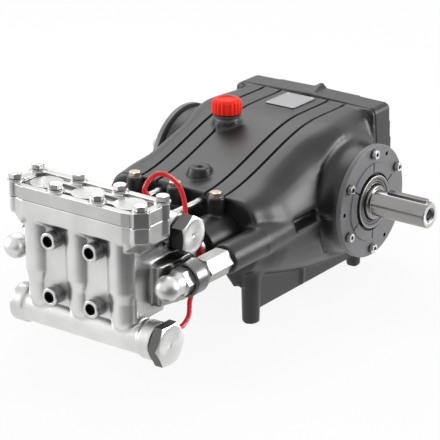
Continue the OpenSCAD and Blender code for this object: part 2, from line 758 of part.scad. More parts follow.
hose_path = concat([for (i = [0 : len(hose_points) - 2]) for (s = [0 : hose_sub - 1])
    catmull(hose_at(i - 1), hose_at(i), hose_at(i + 1), hose_at(i + 2), s / hose_sub)],
    [hose_at(len(hose_points) - 1)]);
function unit(v) = v / norm(v);
function hose_dir(i) = unit(hose_path[min(i + 1, len(hose_path) - 1)] - hose_path[max(i - 1, 0)]);
module flush_hose() {
    m = len(hose_path);
    n = hose_sides;
    side = [0.8, 0.6, 0];
    pts = [for (i = [0 : m - 1]) let (t = hose_dir(i), a = unit(cross(t, side)), b = cross(t, a))
        for (k = [0 : n - 1]) hose_path[i] + hose_d / 2 * (cos(360 * k / n) * a + sin(360 * k / n) * b)];
    color(hose_red) polyhedron(points = pts, faces = concat(
        [[for (k = [n - 1 : -1 : 0]) k]],
        [for (i = [0 : m - 2]) for (k = [0 : n - 1]) let (k2 = (k + 1) % n)
            [i * n + k, i * n + k2, (i + 1) * n + k2]],
        [for (i = [0 : m - 2]) for (k = [0 : n - 1]) let (k2 = (k + 1) % n)
            [i * n + k, (i + 1) * n + k2, (i + 1) * n + k]],
        [[for (k = [0 : n - 1]) (m - 1) * n + k]]));
}
module hose_fitting_top() {
    color(turned_steel) translate(hose_top) difference() {
        union() {
            cylinder(d = 14 / cos(30), h = 9, $fn = 6);
            cylinder(d = 11, h = 12);
        }
        translate([0, 0, 4]) cylinder(d = hose_d + 2 * seat_gap, h = 10);
    }
}
module hose_fitting_low() {
    color(turned_steel) translate([hose_low[0], inlet_y + inlet_d / 2 + 3, inlet_z]) rotate([-90, 0, 0]) {
        difference() {
            union() {
                cylinder(d = 14 / cos(30), h = 9, $fn = 6);
                cylinder(d = 11, h = 18);
            }
            translate([0, 0, 4]) cylinder(d = hose_d + 2 * seat_gap, h = 20);
        }
    }
}

cap_x = -42;
cap_y = 6;
neck_h = 15;
filler_h = 6;
cap_z = top_z(cap_y);
module oil_neck() {
    color([0.3, 0.3, 0.31]) translate([cap_x, cap_y, cap_z + filler_h]) {
        cylinder(d = cap_d - 8, h = neck_h - filler_h);
        translate([0, 0, neck_h - filler_h - 4]) cylinder(d = cap_d - 3, h = 4);
    }
}
module oil_cap() {
    color(cap_red) translate([cap_x, cap_y, cap_z + neck_h]) difference() {
        union() {
            cylinder(d = cap_d - 2, h = cap_h - 4);
            translate([0, 0, cap_h - 4]) cylinder(d1 = cap_d - 2, d2 = cap_d - 12, h = 4);
            for (k = [0 : cap_ribs - 1]) rotate([0, 0, 360 * k / cap_ribs])
                translate([cap_d / 2 - 1.5, 0, 0]) cylinder(d = 3, h = cap_h - 4);
        }
        translate([0, 0, cap_h - 2]) cylinder(d = 26, h = 5);
    }
}
plate_w = 55;
plate_l = 65;
plate_y = 121;
pad_h = 2;
module plate_box(inset, h, z) {
    translate([-plate_w / 2 + inset, plate_y - plate_l / 2 + inset, z])
        cube([plate_w - 2 * inset, plate_l - 2 * inset, h]);
}
module name_plate() color([0.8, 0.8, 0.8]) plate_box(0, 1, high_top + pad_h);

crankcase();
rear_cover();
rear_cover_bolts();
sight_glass();
drain_plug();
drive_bearing_cover();
drive_cover_bolts();
blind_bearing_cover();
blind_cover_bolts();
shaft_seal();
drive_shaft();
shaft_key();
guide_left();
guide_middle();
guide_right();
guide_bolts();
plunger_left();
plunger_middle();
plunger_right();
gland_left();
gland_middle();
gland_right();
head_block();
valve_cover();
lid_bolts();
head_screws();
spacer_left();
spacer_right();
cap_nut_left();
cap_nut_right();
inlet_plug();
outlet_plug();
outlet_seat();
flush_hose();
hose_fitting_top();
hose_fitting_low();
oil_cap();
oil_neck();
name_plate();
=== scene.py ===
# %% [markdown]
# # A triplex plunger pump, dressed for its portrait
#
# The pump is already packed as a set of exact solids. This lesson loads them as a fixed
# frame and puts the visible surfaces over them: soft-cornered castings, turned plugs, bolts
# with their washers, a keyed shaft and one red hose. Everything is in metres, with the
# origin on the floor between the four feet, and the helpers take millimetres.

# %% Load the frame
import math

import bmesh
import bpy
from mathutils import Matrix, Vector
from mathutils.bvhtree import BVHTree


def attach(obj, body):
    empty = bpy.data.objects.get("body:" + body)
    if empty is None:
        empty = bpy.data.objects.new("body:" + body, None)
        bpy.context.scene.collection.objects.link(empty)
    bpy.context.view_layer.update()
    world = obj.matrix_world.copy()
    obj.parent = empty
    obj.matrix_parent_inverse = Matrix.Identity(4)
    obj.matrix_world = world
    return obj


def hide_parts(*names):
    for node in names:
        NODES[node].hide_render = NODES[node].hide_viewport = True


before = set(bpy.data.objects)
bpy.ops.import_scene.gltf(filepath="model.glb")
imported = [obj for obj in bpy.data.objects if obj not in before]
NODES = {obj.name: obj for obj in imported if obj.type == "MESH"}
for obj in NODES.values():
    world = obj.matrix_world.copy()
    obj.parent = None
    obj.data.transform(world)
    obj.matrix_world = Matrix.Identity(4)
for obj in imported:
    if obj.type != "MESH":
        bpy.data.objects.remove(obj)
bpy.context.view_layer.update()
MM = 0.001
AXIS_Z = 143.7
CRANK_Y = 81
PITCH = 77

# %% [markdown]
# ## The camera
#
# A long lens a few metres away, to the right of the pump's front and a little above it.
# The two angles and the distance were fitted to the pump's own corners, so the camera is
# given by its place and by the direction in which it looks.

# %% Set the camera
TURN = math.radians(36.138)
DROP = math.radians(20.880)
CAMERA_AT = (1.8996, -2.6719, 1.3462)
LENS, FILM = 180.2, 36
right = Vector((math.cos(TURN), math.sin(TURN), 0))
ahead = Vector((-math.sin(TURN) * math.cos(DROP), math.cos(TURN) * math.cos(DROP), -math.sin(DROP)))
above = right.cross(ahead)
lens_data = bpy.data.cameras.new("portrait_lens")
lens_data.lens = LENS
lens_data.sensor_width = FILM
lens_data.clip_end = 50
camera = bpy.data.objects.new("portrait_camera", lens_data)
bpy.context.scene.collection.objects.link(camera)
camera.matrix_world = Matrix.Translation(CAMERA_AT) @ Matrix((
    (right.x, above.x, -ahead.x, 0),
    (right.y, above.y, -ahead.y, 0),
    (right.z, above.z, -ahead.z, 0),
    (0, 0, 0, 1)))
bpy.context.scene.camera = camera
print("camera at", [round(v, 3) for v in camera.matrix_world.translation])

# %% [markdown]
# ## The flushing hose
#
# A thin red hose leaves a fitting behind the valve cover, arches over to the right, dives
# between the head and the crankcase and comes back under the head to a fitting behind the
# inlet tube. It is drawn as a curve with a round bevel through the same points as its solid,
# then turned into a mesh tube, because a mesh tells its own size exactly.

# %% Route the hose
HOSE_D = 7.5 * MM
HOSE_TOP = (57, -322, 226)
HOSE_LOW = (115, -394, 59.8)
TOP_STEPS = [
    (0, 0, 10), (-1, -2, 21), (-2.5, -7.7, 29), (-0.5, -4.2, 39.1), (3.7, 1.2, 46.9),
    (9, 6, 52.3), (13, 12.7, 52.4), (17, 19.3, 49.4), (20, 27.2, 43.6), (23.8, 36.3, 32.5),
    (25.7, 42.1, 21.9), (26.9, 45.1, 12.1), (28.2, 46.8, 2.6), (29.3, 47.1, -6.6),
    (30.4, 47.1, -15.6), (35, 50, -31), (43, 53, -48), (52, 54, -66)]
LOW_STEPS = [
    (-1, 124, 84.2), (-3, 120, 68.2), (-6, 115, 52.2), (-8, 109, 36.2), (-7.5, 101, 23.2),
    (-5.5, 97.5, 13.7), (-3, 92.6, 4.8), (-1.6, 83.5, -1.5), (-0.7, 73, -5.3), (0, 60, -3.3),
    (0, 48, 0)]
stations = [[(a + b) * MM for a, b in zip(HOSE_TOP, q)] for q in TOP_STEPS]
stations += [[(a + b) * MM for a, b in zip(HOSE_LOW, q)] for q in LOW_STEPS]


def between(a, b, c, d, u):
    """A point of the smooth curve through b and c, a share u of the way."""
    return [0.5 * (2 * q + (r - p) * u + (2 * p - 5 * q + 4 * r - s) * u * u
                   + (3 * q - p - 3 * r + s) * u ** 3) for p, q, r, s in zip(a, b, c, d)]


hose_line = []
for i in range(len(stations) - 1):
    four = [stations[min(max(i + k, 0), len(stations) - 1)] for k in (-1, 0, 1, 2)]
    hose_line += [between(*four, k / 4) for k in range(4)]
hose_line.append(stations[-1])
hose_curve = bpy.data.curves.new("hose_line", "CURVE")
hose_curve.dimensions = "3D"
hose_curve.bevel_depth = HOSE_D / 2
hose_curve.bevel_resolution = 5
hose_curve.use_fill_caps = True
spline = hose_curve.splines.new("POLY")
spline.points.add(len(hose_line) - 1)
for point, place in zip(spline.points, hose_line):
    point.co = (*place, 1)
drawn = bpy.data.objects.new("hose_line", hose_curve)
bpy.context.scene.collection.objects.link(drawn)
hose = bpy.data.objects.new("flushing_hose", bpy.data.meshes.new_from_object(
    drawn.evaluated_get(bpy.context.evaluated_depsgraph_get())))
bpy.data.objects.remove(drawn)
bpy.context.scene.collection.objects.link(hose)
hose.data.shade_smooth()
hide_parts("flush_hose")
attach(hose, "frame")

# %% [markdown]
# ## Surface effects that several finishes share
#
# Cast metal is never quite even: the sand leaves fine grain and the paint or blasting leaves
# slow, cloudy changes. Machined metal shows the tool's rings instead. Each effect is a node
# group with named inputs, built once and placed in each finish with its own values. The
# groups put out masks and heights only, and the shader stays in the finish.


# %% Node group helpers
def start_group(name, inputs, outputs):
    """A new node group with those float inputs and outputs."""
    group = bpy.data.node_groups.new(name, "ShaderNodeTree")
    for label, value in inputs:
        made = group.interface.new_socket(label, in_out="INPUT", socket_type="NodeSocketFloat")
        made.default_value = value
    for label in outputs:
        group.interface.new_socket(label, in_out="OUTPUT", socket_type="NodeSocketFloat")
    return group, group.nodes.new("NodeGroupInput"), group.nodes.new("NodeGroupOutput")


def add(tree, kind, links=(), **values):
    """A node of that kind: values set its properties, and links feed its inputs."""
    node = tree.nodes.new(kind)
    for key, value in values.items():
        setattr(node, key, value)
    for socket, source in links:
        if isinstance(source, bpy.types.NodeSocket):
            tree.links.new(source, node.inputs[socket])
        else:
            node.inputs[socket].default_value = source
    return node


def math_node(tree, operation, a, b=0.0):
    return add(tree, "ShaderNodeMath", [(0, a), (1, b)], operation=operation).outputs[0]


print("helpers ready")

# %% Cast skin: grain and clouds
cast_skin, given, result = start_group(
    "cast_skin", [("Grain Scale", 900.0), ("Cloud Scale", 9.0)], ["Height", "Clouds"])
spot = add(cast_skin, "ShaderNodeTexCoord").outputs["Object"]
grain = add(cast_skin, "ShaderNodeTexNoise", [("Vector", spot), ("Scale", given.outputs[0]),
            ("Detail", 3.0), ("Roughness", 0.6)])
lumps = add(cast_skin, "ShaderNodeTexNoise", [("Vector", spot), ("Scale", 140.0), ("Detail", 2.0)])
clouds = add(cast_skin, "ShaderNodeTexNoise", [("Vector", spot), ("Scale", given.outputs[1]),
             ("Detail", 5.0), ("Roughness", 0.62)])
height = math_node(cast_skin, "ADD", math_node(cast_skin, "MULTIPLY", grain.outputs[0], 0.55),
                   math_node(cast_skin, "MULTIPLY", lumps.outputs[0], 0.45))
cast_skin.links.new(height, result.inputs["Height"])
cast_skin.links.new(clouds.outputs[0], result.inputs["Clouds"])
print("group:", cast_skin.name)

# %% Turned rings: the marks of a lathe that faces off the end of a piece along X
turned_rings, given, result = start_group(
    "turned_rings", [("Centre Y", 0.0), ("Centre Z", 0.0), ("Rings Per Metre", 1400.0)], ["Height"])
spot = add(turned_rings, "ShaderNodeTexCoord").outputs["Object"]
parts = add(turned_rings, "ShaderNodeSeparateXYZ", [(0, spot)])
off_y = math_node(turned_rings, "SUBTRACT", parts.outputs[1], given.outputs[0])
off_z = math_node(turned_rings, "SUBTRACT", parts.outputs[2], given.outputs[1])
away = math_node(turned_rings, "SQRT", math_node(
    turned_rings, "ADD", math_node(turned_rings, "MULTIPLY", off_y, off_y),
    math_node(turned_rings, "MULTIPLY", off_z, off_z)))
ring_noise = add(turned_rings, "ShaderNodeTexNoise", [
    ("W", math_node(turned_rings, "MULTIPLY", away, given.outputs[2])), ("Scale", 1.0),
    ("Detail", 2.0)], noise_dimensions="1D")
turned_rings.links.new(ring_noise.outputs[0], result.inputs["Height"])
print("group:", turned_rings.name)

# %% Handling marks: faint smears that change the gloss
smears, given, result = start_group("smears", [("Scale", 22.0)], ["Mask"])
spot = add(smears, "ShaderNodeTexCoord").outputs["Object"]
bent = add(smears, "ShaderNodeTexNoise", [("Vector", spot), ("Scale", given.outputs[0]),
           ("Detail", 6.0), ("Roughness", 0.7), ("Distortion", 0.8)])
sharp = add(smears, "ShaderNodeMapRange", [("Value", bent.outputs[0]), (1, 0.35), (2, 0.7)])
smears.links.new(sharp.outputs[0], result.inputs["Mask"])
print("group:", smears.name)

# %% [markdown]
# ## The finishes
#
# Each finish is one Principled BSDF. What is the same all over is set on the shader's own
# socket, and only colours, roughness and normals that change are fed by nodes. The metals
# are grey rather than white, because in a white studio they reflect white paper.


# %% Finish helper
def finish_of(name, metallic, colour, roughness, **sockets):
    """A new material with a plain Principled shader; returns (material, tree, shader)."""
    made = bpy.data.materials.new(name)
    made.use_nodes = True
    shader = made.node_tree.nodes["Principled BSDF"]
    shader.inputs["Base Color"].default_value = (*colour, 1)
    shader.inputs["Metallic"].default_value = metallic
    shader.inputs["Roughness"].default_value = roughness
    for key, value in sockets.items():
        shader.inputs[key.replace("_", " ")].default_value = value
    return made, made.node_tree, shader


def two_tone(tree, mask, low, high):
    """A colour between low and high by a mask."""
    mixed = add(tree, "ShaderNodeMix", [(0, mask)], data_type="RGBA")
    mixed.inputs[6].default_value = (*low, 1)
    mixed.inputs[7].default_value = (*high, 1)
    return mixed.outputs[2]


def ranged(tree, value, low, high, start=0.3, stop=0.7):
    """A value mapped from start..stop to low..high."""
    links = [("Value", value), (1, start), (2, stop), (3, low), (4, high)]
    return add(tree, "ShaderNodeMapRange", links).outputs[0]


def bumped(tree, shader, height_source, strength, distance):
    bump = add(tree, "ShaderNodeBump", [("Height", height_source), ("Strength", strength),
               ("Distance", distance)])
    tree.links.new(bump.outputs[0], shader.inputs["Normal"])


def cast_finish(name, metallic, low, high, rough, grain_scale, depth, **sockets):
    """Cast metal, painted or blasted: grain in the normal, clouds in colour and gloss."""
    made, tree, shader = finish_of(name, metallic, low, rough[0], **sockets)
    skin = add(tree, "ShaderNodeGroup", node_tree=cast_skin)
    skin.inputs["Grain Scale"].default_value = grain_scale
    cloud_mask = ranged(tree, skin.outputs["Clouds"], 0, 1)
    tree.links.new(two_tone(tree, cloud_mask, low, high), shader.inputs["Base Color"])
    tree.links.new(ranged(tree, skin.outputs["Clouds"], *rough), shader.inputs["Roughness"])
    bumped(tree, shader, skin.outputs["Height"], 0.5, depth)
    return made


def tint(made, mask, colour):
    """Lets colour take over a finish's own colour where mask is 1."""
    tree = made.node_tree
    socket = tree.nodes["Principled BSDF"].inputs["Base Color"]
    clean = socket.links[0].from_socket
    mixed = add(tree, "ShaderNodeMix", [(0, mask), (6, clean)], data_type="RGBA")
    mixed.inputs[7].default_value = (*colour, 1)
    tree.links.new(mixed.outputs[2], socket)


def place_in(tree):
    """The three coordinates of a spot on the object, in metres."""
    spot = add(tree, "ShaderNodeTexCoord").outputs["Object"]
    return add(tree, "ShaderNodeSeparateXYZ", [(0, spot)]).outputs


print("finish helpers ready")

# %% Painted castings and blasted stainless
paint = cast_finish(
    "crankcase_satin", 0, (0.015, 0.015, 0.016), (0.021, 0.021, 0.022), (0.32, 0.40), 700, 0.0003)
cover_paint = cast_finish(
    "cover_satin", 0, (0.145, 0.146, 0.152), (0.17, 0.17, 0.177), (0.36, 0.43), 1100, 0.00015)
# Black paint of the plunger guides; the bearing covers also use it as painted shade round the hub.
black_paint_and_shade = cast_finish(
    "guide_black_and_hub_shade", 0, (0.012, 0.012, 0.013), (0.018, 0.018, 0.019), (0.32, 0.42), 900, 0.0002)
blasted = cast_finish(
    "blasted_stainless", 1.0, (0.58, 0.58, 0.575), (0.80, 0.80, 0.79), (0.29, 0.38), 1500, 0.00012)
pocketed = cast_finish(
    "pocketed_stainless", 1.0, (0.48, 0.48, 0.475), (0.64, 0.64, 0.63), (0.29, 0.38), 1500, 0.00012)
print("cast finishes made")

# %% [markdown]
# ## Painted shade on the castings
#
# The colour is darkened where shade falls, as painted shade: in the pockets of the valve cover,
# between the columns and round the screws, and on the ears beside the head. The pockets and
# the ears are told by their place, and the hollows by how much of the room a spot can see.

# %% Painted shade in the pockets and the hollows
POCKET_HALF = (109.5, 27.0)
POCKET_MIDDLE_Y = -391.2
POCKET_LIP = 258.9
SHADE_REACH = 45
pocket_tree = pocketed.node_tree
place = place_in(pocket_tree)
inside = ranged(pocket_tree, place[2], 1, 0, (POCKET_LIP - 2.2) * MM, POCKET_LIP * MM)
for coordinate, middle, half in ((0, 0, POCKET_HALF[0]), (1, POCKET_MIDDLE_Y, POCKET_HALF[1])):
    off = math_node(pocket_tree, "ABSOLUTE", math_node(
        pocket_tree, "SUBTRACT", place[coordinate], middle * MM))
    near = ranged(pocket_tree, off, 1, 0, (half - 1.5) * MM, half * MM)
    inside = math_node(pocket_tree, "MULTIPLY", inside, near)
# Painted shade: the floors and walls of the cover's pockets are darkened where shade falls.
tint(pocketed, inside, (0.10, 0.10, 0.10))
head_tree = blasted.node_tree
# Painted shade: spots that see little of the room, between the columns and round the screws, are
# darkened.
hollow = add(head_tree, "ShaderNodeAmbientOcclusion", [("Distance", SHADE_REACH * MM)], samples=8)
tint(blasted, ranged(head_tree, hollow.outputs["AO"], 1, 0, 0.25, 0.8), (0.11, 0.11, 0.11))
print("shade painted")

# %% Painted shade on the ears
EAR_IN, EAR_OUT = 110, 122
EAR_FRONT, EAR_BACK = -384, -368
EAR_LOW, EAR_TOP = 186, 204
place = place_in(head_tree)
outside = ranged(head_tree, math_node(head_tree, "ABSOLUTE", place[0]), 0, 1,
                 EAR_IN * MM, EAR_OUT * MM)
behind = ranged(head_tree, place[1], 0, 1, EAR_FRONT * MM, EAR_BACK * MM)
below = ranged(head_tree, place[2], 1, 0, EAR_LOW * MM, EAR_TOP * MM)
ear_shade = math_node(head_tree, "MULTIPLY", math_node(head_tree, "MULTIPLY", outside, behind), below)
# Painted shade: the ears' colour is darkened where their flanks lie in shade.
tint(blasted, ear_shade, (0.20, 0.20, 0.20))
print("ears darkened")

# %% [markdown]
# ## Machined metal, plastic, rubber and ceramic
#
# Bolts and plugs are rolled or turned and then handled, so their gloss is broken by smears.
# The faced ends keep the rings of the lathe. Plastics and rubber have a faint moulded grain.


# %% Machined and rolled finishes
def machined(name, colour, roughness, smear=0.1, **sockets):
    """Bright machined metal, its gloss broken by handling marks."""
    made, tree, shader = finish_of(name, 1.0, colour, roughness, **sockets)
    marks = add(tree, "ShaderNodeGroup", node_tree=smears)
    tree.links.new(ranged(tree, marks.outputs["Mask"], roughness, roughness + smear, 0, 1),
                   shader.inputs["Roughness"])
    worn = [c * 0.9 for c in colour]
    tree.links.new(two_tone(tree, marks.outputs["Mask"], colour, worn), shader.inputs["Base Color"])
    return made


def faced(name, y, z, colour=(0.84, 0.84, 0.83), roughness=0.20):
    """The faced end of a turned piece: rings round the axis through y, z."""
    made, tree, shader = finish_of(name, 1.0, colour, roughness, Anisotropic=0.75)
    rings = add(tree, "ShaderNodeGroup", node_tree=turned_rings)
    rings.inputs["Centre Y"].default_value = y * MM
    rings.inputs["Centre Z"].default_value = z * MM
    bumped(tree, shader, rings.outputs["Height"], 0.35, 0.00006)
    tree.links.new(ranged(tree, rings.outputs["Height"], roughness, roughness + 0.1),
                   shader.inputs["Roughness"])
    round_axis = add(tree, "ShaderNodeTangent", direction_type="RADIAL", axis="X")
    tree.links.new(round_axis.outputs[0], shader.inputs["Tangent"])
    return made


turned = machined("turned_steel", (0.46, 0.46, 0.45), 0.34)
polished = machined("polished_steel", (0.74, 0.74, 0.73), 0.36, 0.08)
shaft_steel = machined("ground_shaft", (0.31, 0.305, 0.295), 0.15, 0.08)
zinc = machined("bright_zinc", (0.68, 0.68, 0.67), 0.25)
dark_steel = machined("dark_spring_steel", (0.10, 0.10, 0.10), 0.38)
side_steel = machined("oiled_steel", (0.24, 0.24, 0.24), 0.30)
# A dark copy of the steel for the flats of the plugs: painted shade, as each plug is one steel.
shaded_hex_flats = machined("hexagon_flats_shade", (0.11, 0.11, 0.108), 0.32)
tan_zinc = machined("yellow_zinc", (0.62, 0.53, 0.43), 0.28)
# Near black for the insides of holes and sockets: painted shade.
painted_hole_shade = machined("hole_shade_black", (0.02, 0.02, 0.02), 0.45)
plate_metal = machined("plate_metal", (0.36, 0.36, 0.37), 0.38)
print("machined finishes made")


# %% Plastics, rubber and ceramic
def moulded(name, colour, roughness, **sockets):
    """Moulded plastic or rubber with a faint grain and smears."""
    made, tree, shader = finish_of(name, 0, colour, roughness, **sockets)
    marks = add(tree, "ShaderNodeGroup", node_tree=smears)
    tree.links.new(ranged(tree, marks.outputs["Mask"], roughness, roughness + 0.12, 0, 1),
                   shader.inputs["Roughness"])
    skin = add(tree, "ShaderNodeGroup", node_tree=cast_skin)
    skin.inputs["Grain Scale"].default_value = 1600
    bumped(tree, shader, skin.outputs["Height"], 0.3, 0.0001)
    return made


cap_plastic = moulded("red_cap", (1.0, 0.030, 0.014), 0.38, Specular_IOR_Level=0.16)
hose_plastic = moulded("red_hose", (0.76, 0.006, 0.012), 0.24, Coat_Weight=0.3)
rubber = moulded("black_rubber", (0.010, 0.010, 0.010), 0.42)
neck_plastic = moulded("grey_neck", (0.085, 0.085, 0.09), 0.34)
ceramic = moulded("white_ceramic", (0.70, 0.69, 0.66), 0.12)
sight_window = moulded("sight_window", (0.50, 0.40, 0.20), 0.10)
hose.data.materials.append(hose_plastic)
print("plastics made")

# %% [markdown]
# ## Turned and hexagonal pieces
#
# Bolts, nuts, plugs, fittings and the shaft all have rings round one axis. Instead of a
# stock cylinder, one helper joins a list of rings: each ring has a radius and a height, and
# either may change with the angle. A hexagon is just a radius that changes with the angle,
# and the chamfer of a bolt head is a height that drops where the radius grows.


# %% Rings round an axis
def axis_frame(place, axis):
    """A matrix whose Z runs along axis from place."""
    z = Vector(axis).normalized()
    x = Vector((1, 0, 0)) if abs(z.x) < 0.9 else Vector((0, 1, 0))
    y = z.cross(x).normalized()
    x = y.cross(z)
    turn = Matrix((x, y, z)).transposed().to_4x4()
    return Matrix.Translation(Vector(place) * MM) @ turn


def spin(bm, place, axis, rings, steps=48, roll=0.0, slot=0):
    """Joins rings of (radius, height[, slot]) in mm, each a number or a function of the angle.

    A ring's slot is the material of the band that leads up to it. Both ends are closed."""
    at = axis_frame(place, axis)
    loops = []
    for ring in rings:
        loop = []
        for k in range(steps):
            a = 2 * math.pi * k / steps
            r, h = (q(a) if callable(q) else q for q in ring[:2])
            loop.append(bm.verts.new(at @ (Vector((
                r * math.cos(a + roll), r * math.sin(a + roll), h)) * MM)))
        loops.append(loop)
    slots = [ring[2] if len(ring) > 2 else slot for ring in rings]
    for low, high, band in zip(loops, loops[1:], slots[1:]):
        for k in range(steps):
            m = (k + 1) % steps
            bm.faces.new((low[k], low[m], high[m], high[k])).material_index = band
    bm.faces.new(loops[0][::-1]).material_index = slots[0]
    bm.faces.new(loops[-1]).material_index = slots[-1]


def hexagon(af):
    """The radius of a hexagon of that width across flats, by angle."""
    return lambda a: af / 2 / math.cos((a + math.pi / 6) % (math.pi / 3) - math.pi / 6)


def crown(af, h, share=0.97, slope=0.5):
    """The height of a hexagon's chamfered rim, by angle."""
    shape = hexagon(af)
    return lambda a: h - (shape(a) - af / 2 * share) * slope


def dress(piece, materials, nodes=(), body="frame", angle=32):
    """Gives a piece its materials, its smooth shading, its body and its nodes."""
    if piece.name not in bpy.context.scene.collection.objects:
        bpy.context.scene.collection.objects.link(piece)
    for material in materials:
        piece.data.materials.append(material)
    piece.data.shade_smooth()
    piece.data.set_sharp_from_angle(angle=math.radians(angle))
    if nodes:
        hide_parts(*nodes)
    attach(piece, body)
    return piece


def finish_piece(name, bm, materials, nodes=(), body="frame", angle=32):
    """Turns bm into a smooth-shaded piece that rides on a body and replaces CAD nodes."""
    bmesh.ops.recalc_face_normals(bm, faces=bm.faces)
    mesh = bpy.data.meshes.new(name)
    bm.to_mesh(mesh)
    bm.free()
    print(name, "has", len(mesh.polygons), "faces")
    return dress(bpy.data.objects.new(name, mesh), materials, nodes, body, angle)


print("turning helpers ready")

# %% [markdown]
# ## The castings
#
# A sand casting has a rounded corner wherever two walls meet. The exact solid has sharp
# ones. A bevel can't follow a blended, boolean mesh, so a copy of the solid is rebuilt from
# small cells and then relaxed: that rounds every corner by about two cells and leaves the
# flat walls where they were. Small cells make round corners tight and the mesh heavy, so the
# flat cover with its fine pockets gets the smallest cells and the big crankcase the largest.


# %% Rebuild a solid with cast corners
def soft_copy(node, name, cell, rounds, share=0.5, fill=()):
    """A copy of a CAD node's mesh, rebuilt from cells and smoothed; fill adds closed strips."""
    bm = bmesh.new()
    bm.from_mesh(NODES[node].data)
    for loops in fill:
        rows = [[bm.verts.new(Vector(q) * MM) for q in row] for row in loops]
        for low, high in zip(rows, rows[1:]):
            for k in range(4):
                m = (k + 1) % 4
                bm.faces.new((low[k], low[m], high[m], high[k]))
        bm.faces.new(rows[0][::-1])
        bm.faces.new(rows[-1])
    mesh = bpy.data.meshes.new(name)
    bm.to_mesh(mesh)
    bm.free()
    mesh.materials.clear()
    piece = bpy.data.objects.new(name, mesh)
    bpy.context.scene.collection.objects.link(piece)
    remesh = piece.modifiers.new("cells", "REMESH")
    remesh.mode = "VOXEL"
    remesh.voxel_size = cell * MM
    smooth = piece.modifiers.new("relax", "SMOOTH")
    smooth.factor = share
    smooth.iterations = rounds
    settled = bpy.data.meshes.new_from_object(
        piece.evaluated_get(bpy.context.evaluated_depsgraph_get()))
    piece.modifiers.clear()
    piece.data = settled
    print(name, "has", len(settled.polygons), "faces")
    return piece


# %% [markdown]
# ## The four grooves of the crankcase
#
# Four narrow grooves run down the S-shaped back. They are no wider than two cells, so the
# rebuilding would wash them out. They are filled first, with strips whose tops are measured
# on the solid beside each groove, and pressed in again afterwards: the faces there are cut
# finer and their points lowered, which also gives the groove its soft lips.

# %% Measure the back and fill the grooves
GROOVE_X = (-79, -46.4, 46.4, 79)
GROOVE_HALF = 2.25
GROOVE_REACH = 4.4
FAR_OFF = 99  # beside a groove, past its lips
GROOVE_DEEP = 6
GROOVE_FRONT, GROOVE_REAR = -171.6, 163.6
FILLER = (-42, 6)
FILLER_CLEAR = 24
BESIDE = GROOVE_HALF + 0.8
STEP_Y = 4.19
back = BVHTree.FromPolygons([v.co.copy() for v in NODES["crankcase"].data.vertices],
                            [list(p.vertices) for p in NODES["crankcase"].data.polygons])


def back_height(x, y):
    """The height of the crankcase's back at x, y, in mm."""
    hit = back.ray_cast(Vector((x, y, 400)) * MM, Vector((0, 0, -1)))[0]
    return hit.z / MM


groove_rows = {}
groove_fill = []
for x in GROOVE_X:
    steps = int((GROOVE_REAR - GROOVE_FRONT) / STEP_Y)
    ys = [GROOVE_FRONT + (GROOVE_REAR - GROOVE_FRONT) * k / steps for k in range(steps + 1)]
    heights = [(back_height(x - BESIDE, y), back_height(x + BESIDE, y)) for y in ys]
    groove_rows[x] = (ys, [(a + b) / 2 for a, b in heights])
    groove_fill.append([[(x - BESIDE, y, a), (x + BESIDE, y, b), (x + BESIDE, y, b - 10),
                         (x - BESIDE, y, a - 10)] for y, (a, b) in zip(ys, heights)])
print("grooves filled:", len(groove_fill), "strips of", len(groove_fill[0]), "stations")

# %% [markdown]
# ## The crankcase and its rear cover
#
# The crankcase is one big casting with an S-shaped back and round bearing housings that flare
# into its flanks. After the rebuilding the grooves are pressed in again, and the flanks are
# smoothed once more, so that no edge of the loft shows as light runs over them.

# %% Crankcase and rear cover
case = soft_copy("crankcase", "cast_crankcase", 2.75, 2, fill=groove_fill)
rear = soft_copy("rear_cover", "cast_rear_cover", 1.9, 2)


# %% Press the grooves in
def groove_floor(x, y, off):
    """How high a point may be at y, off mm from the middle of the groove at x."""
    ys, tops = groove_rows[x]
    at = min(max((y - ys[0]) / (ys[-1] - ys[0]) * (len(ys) - 1), 0), len(ys) - 1.001)
    k = int(at)
    top = tops[k] + (tops[k + 1] - tops[k]) * (at - k)
    side = min(max((off - GROOVE_HALF + 0.9) / 1.5, 0), 1)
    end = min(max((y - GROOVE_REAR + 1) / 2, 0), 1)
    share = (1 - side * side * (3 - 2 * side)) * (1 - end)
    return top + 0.4 - (GROOVE_DEEP + 0.4) * share


def in_groove(x, co):
    """Whether a point lies over the groove at x, clear of the oil filler."""
    far = math.dist(FILLER, (co.x / MM, co.y / MM)) > FILLER_CLEAR
    return far and abs(co.x / MM - x) < GROOVE_REACH and co.y / MM < GROOVE_REAR + 2


bm = bmesh.new()
bm.from_mesh(case.data)
for x in GROOVE_X:
    near = []
    for edge in bm.edges:
        a, b = (v.co for v in edge.verts)
        middle = (a + b) / 2
        if in_groove(x, middle) and abs(a.x - b.x) > 0.8 * (a - b).length:
            if middle.z / MM > groove_floor(x, middle.y / MM, FAR_OFF) - 9:
                near.append(edge)
    bmesh.ops.subdivide_edges(bm, edges=near, cuts=4)
    for v in bm.verts:
        if in_groove(x, v.co):
            v.co.z = min(v.co.z, groove_floor(x, v.co.y / MM, abs(v.co.x / MM - x)) * MM)
bm.to_mesh(case.data)
bm.free()
print("grooves pressed in:", len(case.data.polygons), "faces")


# %% Let chosen regions flow
def flow(piece, share, rounds, weight_at):
    """Smooths a piece by share a round, where weight_at(|x|, y, z in mm) is above zero."""
    group = piece.vertex_groups.new(name="flow")
    for v in piece.data.vertices:
        weight = weight_at(abs(v.co.x) / MM, v.co.y / MM, v.co.z / MM)
        if weight > 0:
            group.add([v.index], min(weight, 1), "REPLACE")
    smooth = piece.modifiers.new("flow", "SMOOTH")
    smooth.vertex_group = "flow"
    smooth.factor = share
    smooth.iterations = rounds
    flowed = bpy.data.meshes.new_from_object(
        piece.evaluated_get(bpy.context.evaluated_depsgraph_get()))
    piece.modifiers.clear()
    piece.data = flowed


